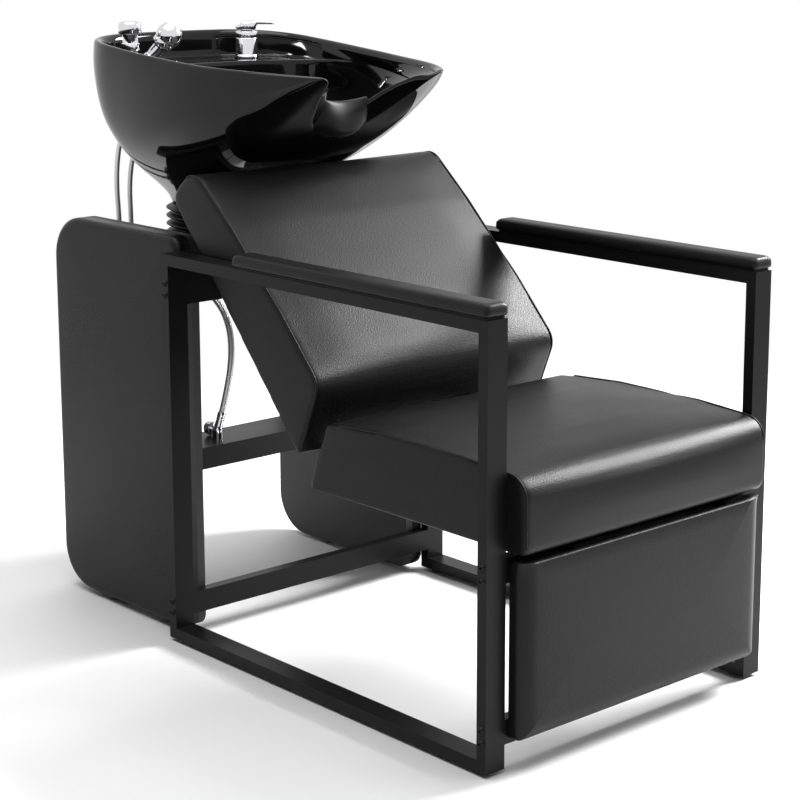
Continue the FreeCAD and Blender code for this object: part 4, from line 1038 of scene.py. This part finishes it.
def make_shower():
    """The ball-shaped hand shower with its collar and dark spray face."""
    foot = Vector((*HOLDER, DECK_HEIGHT + HOLDER_FOOT))
    centre = foot + HOLDER_AXIS * BALL_PLACE
    profile = []
    for step in range(BALL_STEPS + 1):
        angle = -math.pi / 2 + (math.pi / 2 + math.asin(BALL_MOUTH / BALL_RADIUS)) * step / BALL_STEPS
        profile.append((max(BALL_POLE, BALL_RADIUS * math.cos(angle)), BALL_RADIUS * math.sin(angle)))
    profile += [(17.4, 18.9), (16.6, 19.3), (15.8, 18.6), (15.6, 17.2)]
    ball = lathe("shower_ball", profile, at(*centre), SPRAY_AXIS)
    finish_piece(ball, "chrome", "hand_shower_unit", ["hand_shower"])
    ring = [(12.5, 30.6), (16.5, 32.5), (19.5, 36), (20.6, 39), (20.6, 46), (19.6, 48), (17.0, 49)]
    collar = lathe("shower_collar", ring, at(*foot), HOLDER_AXIS)
    finish_piece(collar, "chrome", "hand_shower_unit")
    face = lathe("shower_spray", [(15.4, 17.0), (15.4, 18.0), (14.6, 18.4)], at(*centre), SPRAY_AXIS)
    finish_piece(face, "plastic_black", "hand_shower_unit", ["shower_face"])


def make_breaker():
    """The vacuum breaker: a stem with a ring nut below a wide cap with a domed top."""
    stem = TAIL + [(17, -11), (17, 5), (16, 6), (13, 6.4), (13, 25), (16.5, 25.6), (17, 27), (17, 38), (16.5, 39.4),
                   (14.5, 40), (14.5, BREAKER_RISE)]
    finish_piece(lathe("breaker_stem", stem, at(*BREAKER, DECK_HEIGHT)), "chrome", "basin_unit", ["breaker_body"])
    profile = [(14, 0), (20.6, 0.6), (22, 2.4), (22, 17.5), (21.2, 20.5), (18.5, 23), (12, 24.6), (5, 25), (0.4, 25)]
    cap = lathe("breaker_dome", profile, at(*BREAKER, DECK_HEIGHT + BREAKER_RISE))
    finish_piece(cap, "chrome", "basin_unit", ["breaker_cap"])


# Hoses

def swing(start, end, leave, arrive, steps):
    """Points of a smooth run between two ends; leave and arrive are its handles."""
    handles = [Vector(start), Vector(start) + Vector(leave), Vector(end) + Vector(arrive), Vector(end)]
    points = []
    for step in range(steps + 1):
        t = step / steps
        s = 1 - t
        shares = (s ** 3, 3 * s * s * t, 3 * s * t * t, t ** 3)
        points.append(sum((h * k for h, k in zip(handles, shares)), Vector((0, 0, 0))))
    return points


def route_line(name, route):
    """The smooth line of a hose: a NURBS curve with the route's points as its control points."""
    curve = bpy.data.curves.new(name, "CURVE")
    curve.dimensions = "3D"
    curve.resolution_u = HOSE_RESOLUTION
    spline = curve.splines.new("NURBS")
    spline.points.add(len(route) - 1)
    for point, place in zip(spline.points, route):
        point.co = (*at(*place), 1)
    spline.order_u = HOSE_ORDER
    spline.use_endpoint_u = True
    holder = link(name, curve)
    bpy.context.view_layer.update()
    line = bpy.data.meshes.new_from_object(holder.evaluated_get(bpy.context.evaluated_depsgraph_get()))
    path = [v.co.copy() for v in line.vertices]
    bpy.data.objects.remove(holder)
    return path


def ferrule(name, place, ahead, body):
    """The crimped sleeve at a hose's end."""
    sleeve = lathe(name, FERRULE, place, ahead, FERRULE_SIDES)
    return finish_piece(sleeve, "chrome", body)


def make_hose(node, route, diameter, upper_body):
    """A braided hose with a sleeve at each end; the top sleeve goes with the body its top is on, the end sleeve with
    the base.
    """
    path = route_line(node + "_line", route)
    tube = tube_along(node + "_braid", path, diameter / 2000)
    tube.data.materials.append(FINISHES["braid"])
    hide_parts(node)
    sleeves = [ferrule(node + "_top", path[0], path[1] - path[0], upper_body),
               ferrule(node + "_end", path[-1], path[-2] - path[-1], "base")]
    if upper_body == "base":
        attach(tube, "base")
    else:
        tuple(path[-1])
        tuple(path[0])
        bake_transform(tube)
    length = sum((b - a).length for a, b in zip(path, path[1:]))
    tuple(path[0])


def make_hoses():
    """Two tap hoses to the manifold, the mixer's hose to one stop valve and the supply from the other."""
    stub = Vector((0, 0, HOSE_STUB))
    for node, place, port in (("breaker_hose", BREAKER, BREAKER_PORT), ("shower_hose", HOLDER, SHOWER_PORT)):
        top = Vector((*place, TAIL_END))
        end = Vector((port, PORT_Y, PORT_END))
        run = swing(top - stub, end + stub, HOSE_BULGE, HOSE_ARRIVE, HOSE_STEPS)
        make_hose(node, [top] + run + [end], TAP_HOSE, "basin_unit")
    top = Vector((*MIXER, TAIL_END))
    end = Vector((MIXER_VALVE, VALVE_Y, VALVE_TOP + VALVE_OUTLET))
    down = swing(top - stub, MIXER_BEND, *MIXER_FALL, HOSE_STEPS)
    across = swing(MIXER_BEND, end + stub, *MIXER_CROSS, LONG_STEPS)
    make_hose("mixer_hose", [top] + down + across[1:] + [end], TAP_HOSE, "basin_unit")
    top = Vector(SUPPLY_PORT)
    end = Vector((SUPPLY_VALVE, VALVE_Y, VALVE_TOP)) + SUPPLY_LEAN * VALVE_OUTLET
    run = swing(end + SUPPLY_LEAN * HOSE_STUB, top - Vector((0, HOSE_STUB, 0)), SUPPLY_LEAN * SUPPLY_RISE,
                SUPPLY_ARRIVE, LONG_STEPS)
    make_hose("supply_hose", [top] + run[::-1] + [end], SUPPLY_HOSE, "base")


# Staging

def make_camera():
    camera = bpy.data.cameras.new("photo_camera")
    camera.lens = CAMERA_LENS
    camera.sensor_width = CAMERA_SENSOR
    camera.shift_x, camera.shift_y = CAMERA_SHIFT
    camera.clip_start, camera.clip_end = CAMERA_CLIP
    holder = bpy.data.objects.new("photo_camera", camera)
    SCENE.collection.objects.link(holder)
    level = math.cos(CAMERA_DIP)
    back = Vector((math.sin(CAMERA_TURN) * level, -math.cos(CAMERA_TURN) * level, math.sin(CAMERA_DIP)))
    right = Vector((math.cos(CAMERA_TURN), math.sin(CAMERA_TURN), 0))
    up = back.cross(right)
    turned_right = right * math.cos(CAMERA_ROLL) + up * math.sin(CAMERA_ROLL)
    turned_up = up * math.cos(CAMERA_ROLL) - right * math.sin(CAMERA_ROLL)
    place = Matrix((turned_right, turned_up, back)).transposed().to_4x4()
    place.translation = Vector(CAMERA_PLACE)
    holder.matrix_world = place
    SCENE.camera = holder


def area_light(name, place, aim, size, power):
    lamp = bpy.data.lights.new(name, "AREA")
    lamp.energy = power
    lamp.size = size
    holder = bpy.data.objects.new(name, lamp)
    SCENE.collection.objects.link(holder)
    holder.location = place
    holder.rotation_euler = (Vector(aim) - Vector(place)).to_track_quat("-Z", "Y").to_euler()


def fading_floor():
    """A pale floor that keeps the shadow near the object and fades into the white surroundings."""
    material = textured("floor_white", (0.86, 0.86, 0.86), 0.6, 0.05, 60.0, 0.0001, cloud=0.6)
    tree = material.node_tree
    shader = tree.nodes["Principled BSDF"]
    place = tree.nodes.new("ShaderNodeTexCoord")
    far = tree.nodes.new("ShaderNodeVectorMath")
    far.operation = "LENGTH"
    tree.links.new(place.outputs["Object"], far.inputs[0])
    fade = mapped(tree, far.outputs["Value"], (1.0, 0.0), FLOOR_FADE, "SMOOTHSTEP")
    tree.links.new(fade, shader.inputs["Alpha"])
    return material


def make_stage():
    """Floor, lights and a world that is white to the eye and in reflections but lights from one side only."""
    corners = [(x * FLOOR_HALF, y * FLOOR_HALF, 0) for x, y in ((-1, -1), (1, -1), (1, 1), (-1, 1))]
    floor = mesh_piece("floor", corners, [(0, 1, 2, 3)])
    floor.data.materials.append(fading_floor())
    world = bpy.data.worlds.new("studio")
    SCENE.world = world
    world.use_nodes = True
    tree = world.node_tree
    background = tree.nodes["Background"]
    path = tree.nodes.new("ShaderNodeLightPath")
    place = tree.nodes.new("ShaderNodeTexCoord")
    facing = tree.nodes.new("ShaderNodeVectorMath")
    facing.operation = "DOT_PRODUCT"
    facing.inputs[1].default_value = STUDIO_BRIGHT_SIDE
    tree.links.new(place.outputs["Generated"], facing.inputs[0])
    around = mapped(tree, facing.outputs["Value"], STUDIO_LIGHT, STUDIO_BLEND, "SMOOTHSTEP")
    whole = path.outputs["Is Camera Ray"]
    for kind in ("Is Glossy Ray", "Is Transmission Ray"):
        whole = larger(tree, whole, path.outputs[kind])
    seen = tree.nodes.new("ShaderNodeMix")
    seen.data_type = "FLOAT"
    seen.inputs["B"].default_value = 1.0
    tree.links.new(around, seen.inputs["A"])
    tree.links.new(whole, seen.inputs["Factor"])
    tree.links.new(seen.outputs["Result"], background.inputs["Strength"])
    background.inputs["Color"].default_value = (1, 1, 1, 1)
    SCENE.view_settings.view_transform = "Standard"
    area_light("key", *KEY_LIGHT)
    area_light("top", *TOP_LIGHT)


def finish_nodes():
    """Finishes and eased edges on the CAD nodes that stay in view."""
    slots = {part["node"]: part["material_slot"] for part in frame["record"]["subparts"]}
    for name, node in NODES.items():
        node.data.materials.clear()
        node.data.materials.append(FINISHES[slots[name]])
        if slots[name] in BEVELLED:
            bevel = node.modifiers.new("eased", "BEVEL")
            bevel.width = BEVEL_WIDTH
            bevel.segments = BEVEL_SEGMENTS
            bevel.limit_method = "ANGLE"
            bevel.angle_limit = BEVEL_ANGLE


finish_nodes()
make_basin()
make_neck_rest()
make_bellows()
make_upholstery()
make_mixer()
make_shower()
make_breaker()
make_hoses()
make_stage()
make_camera()
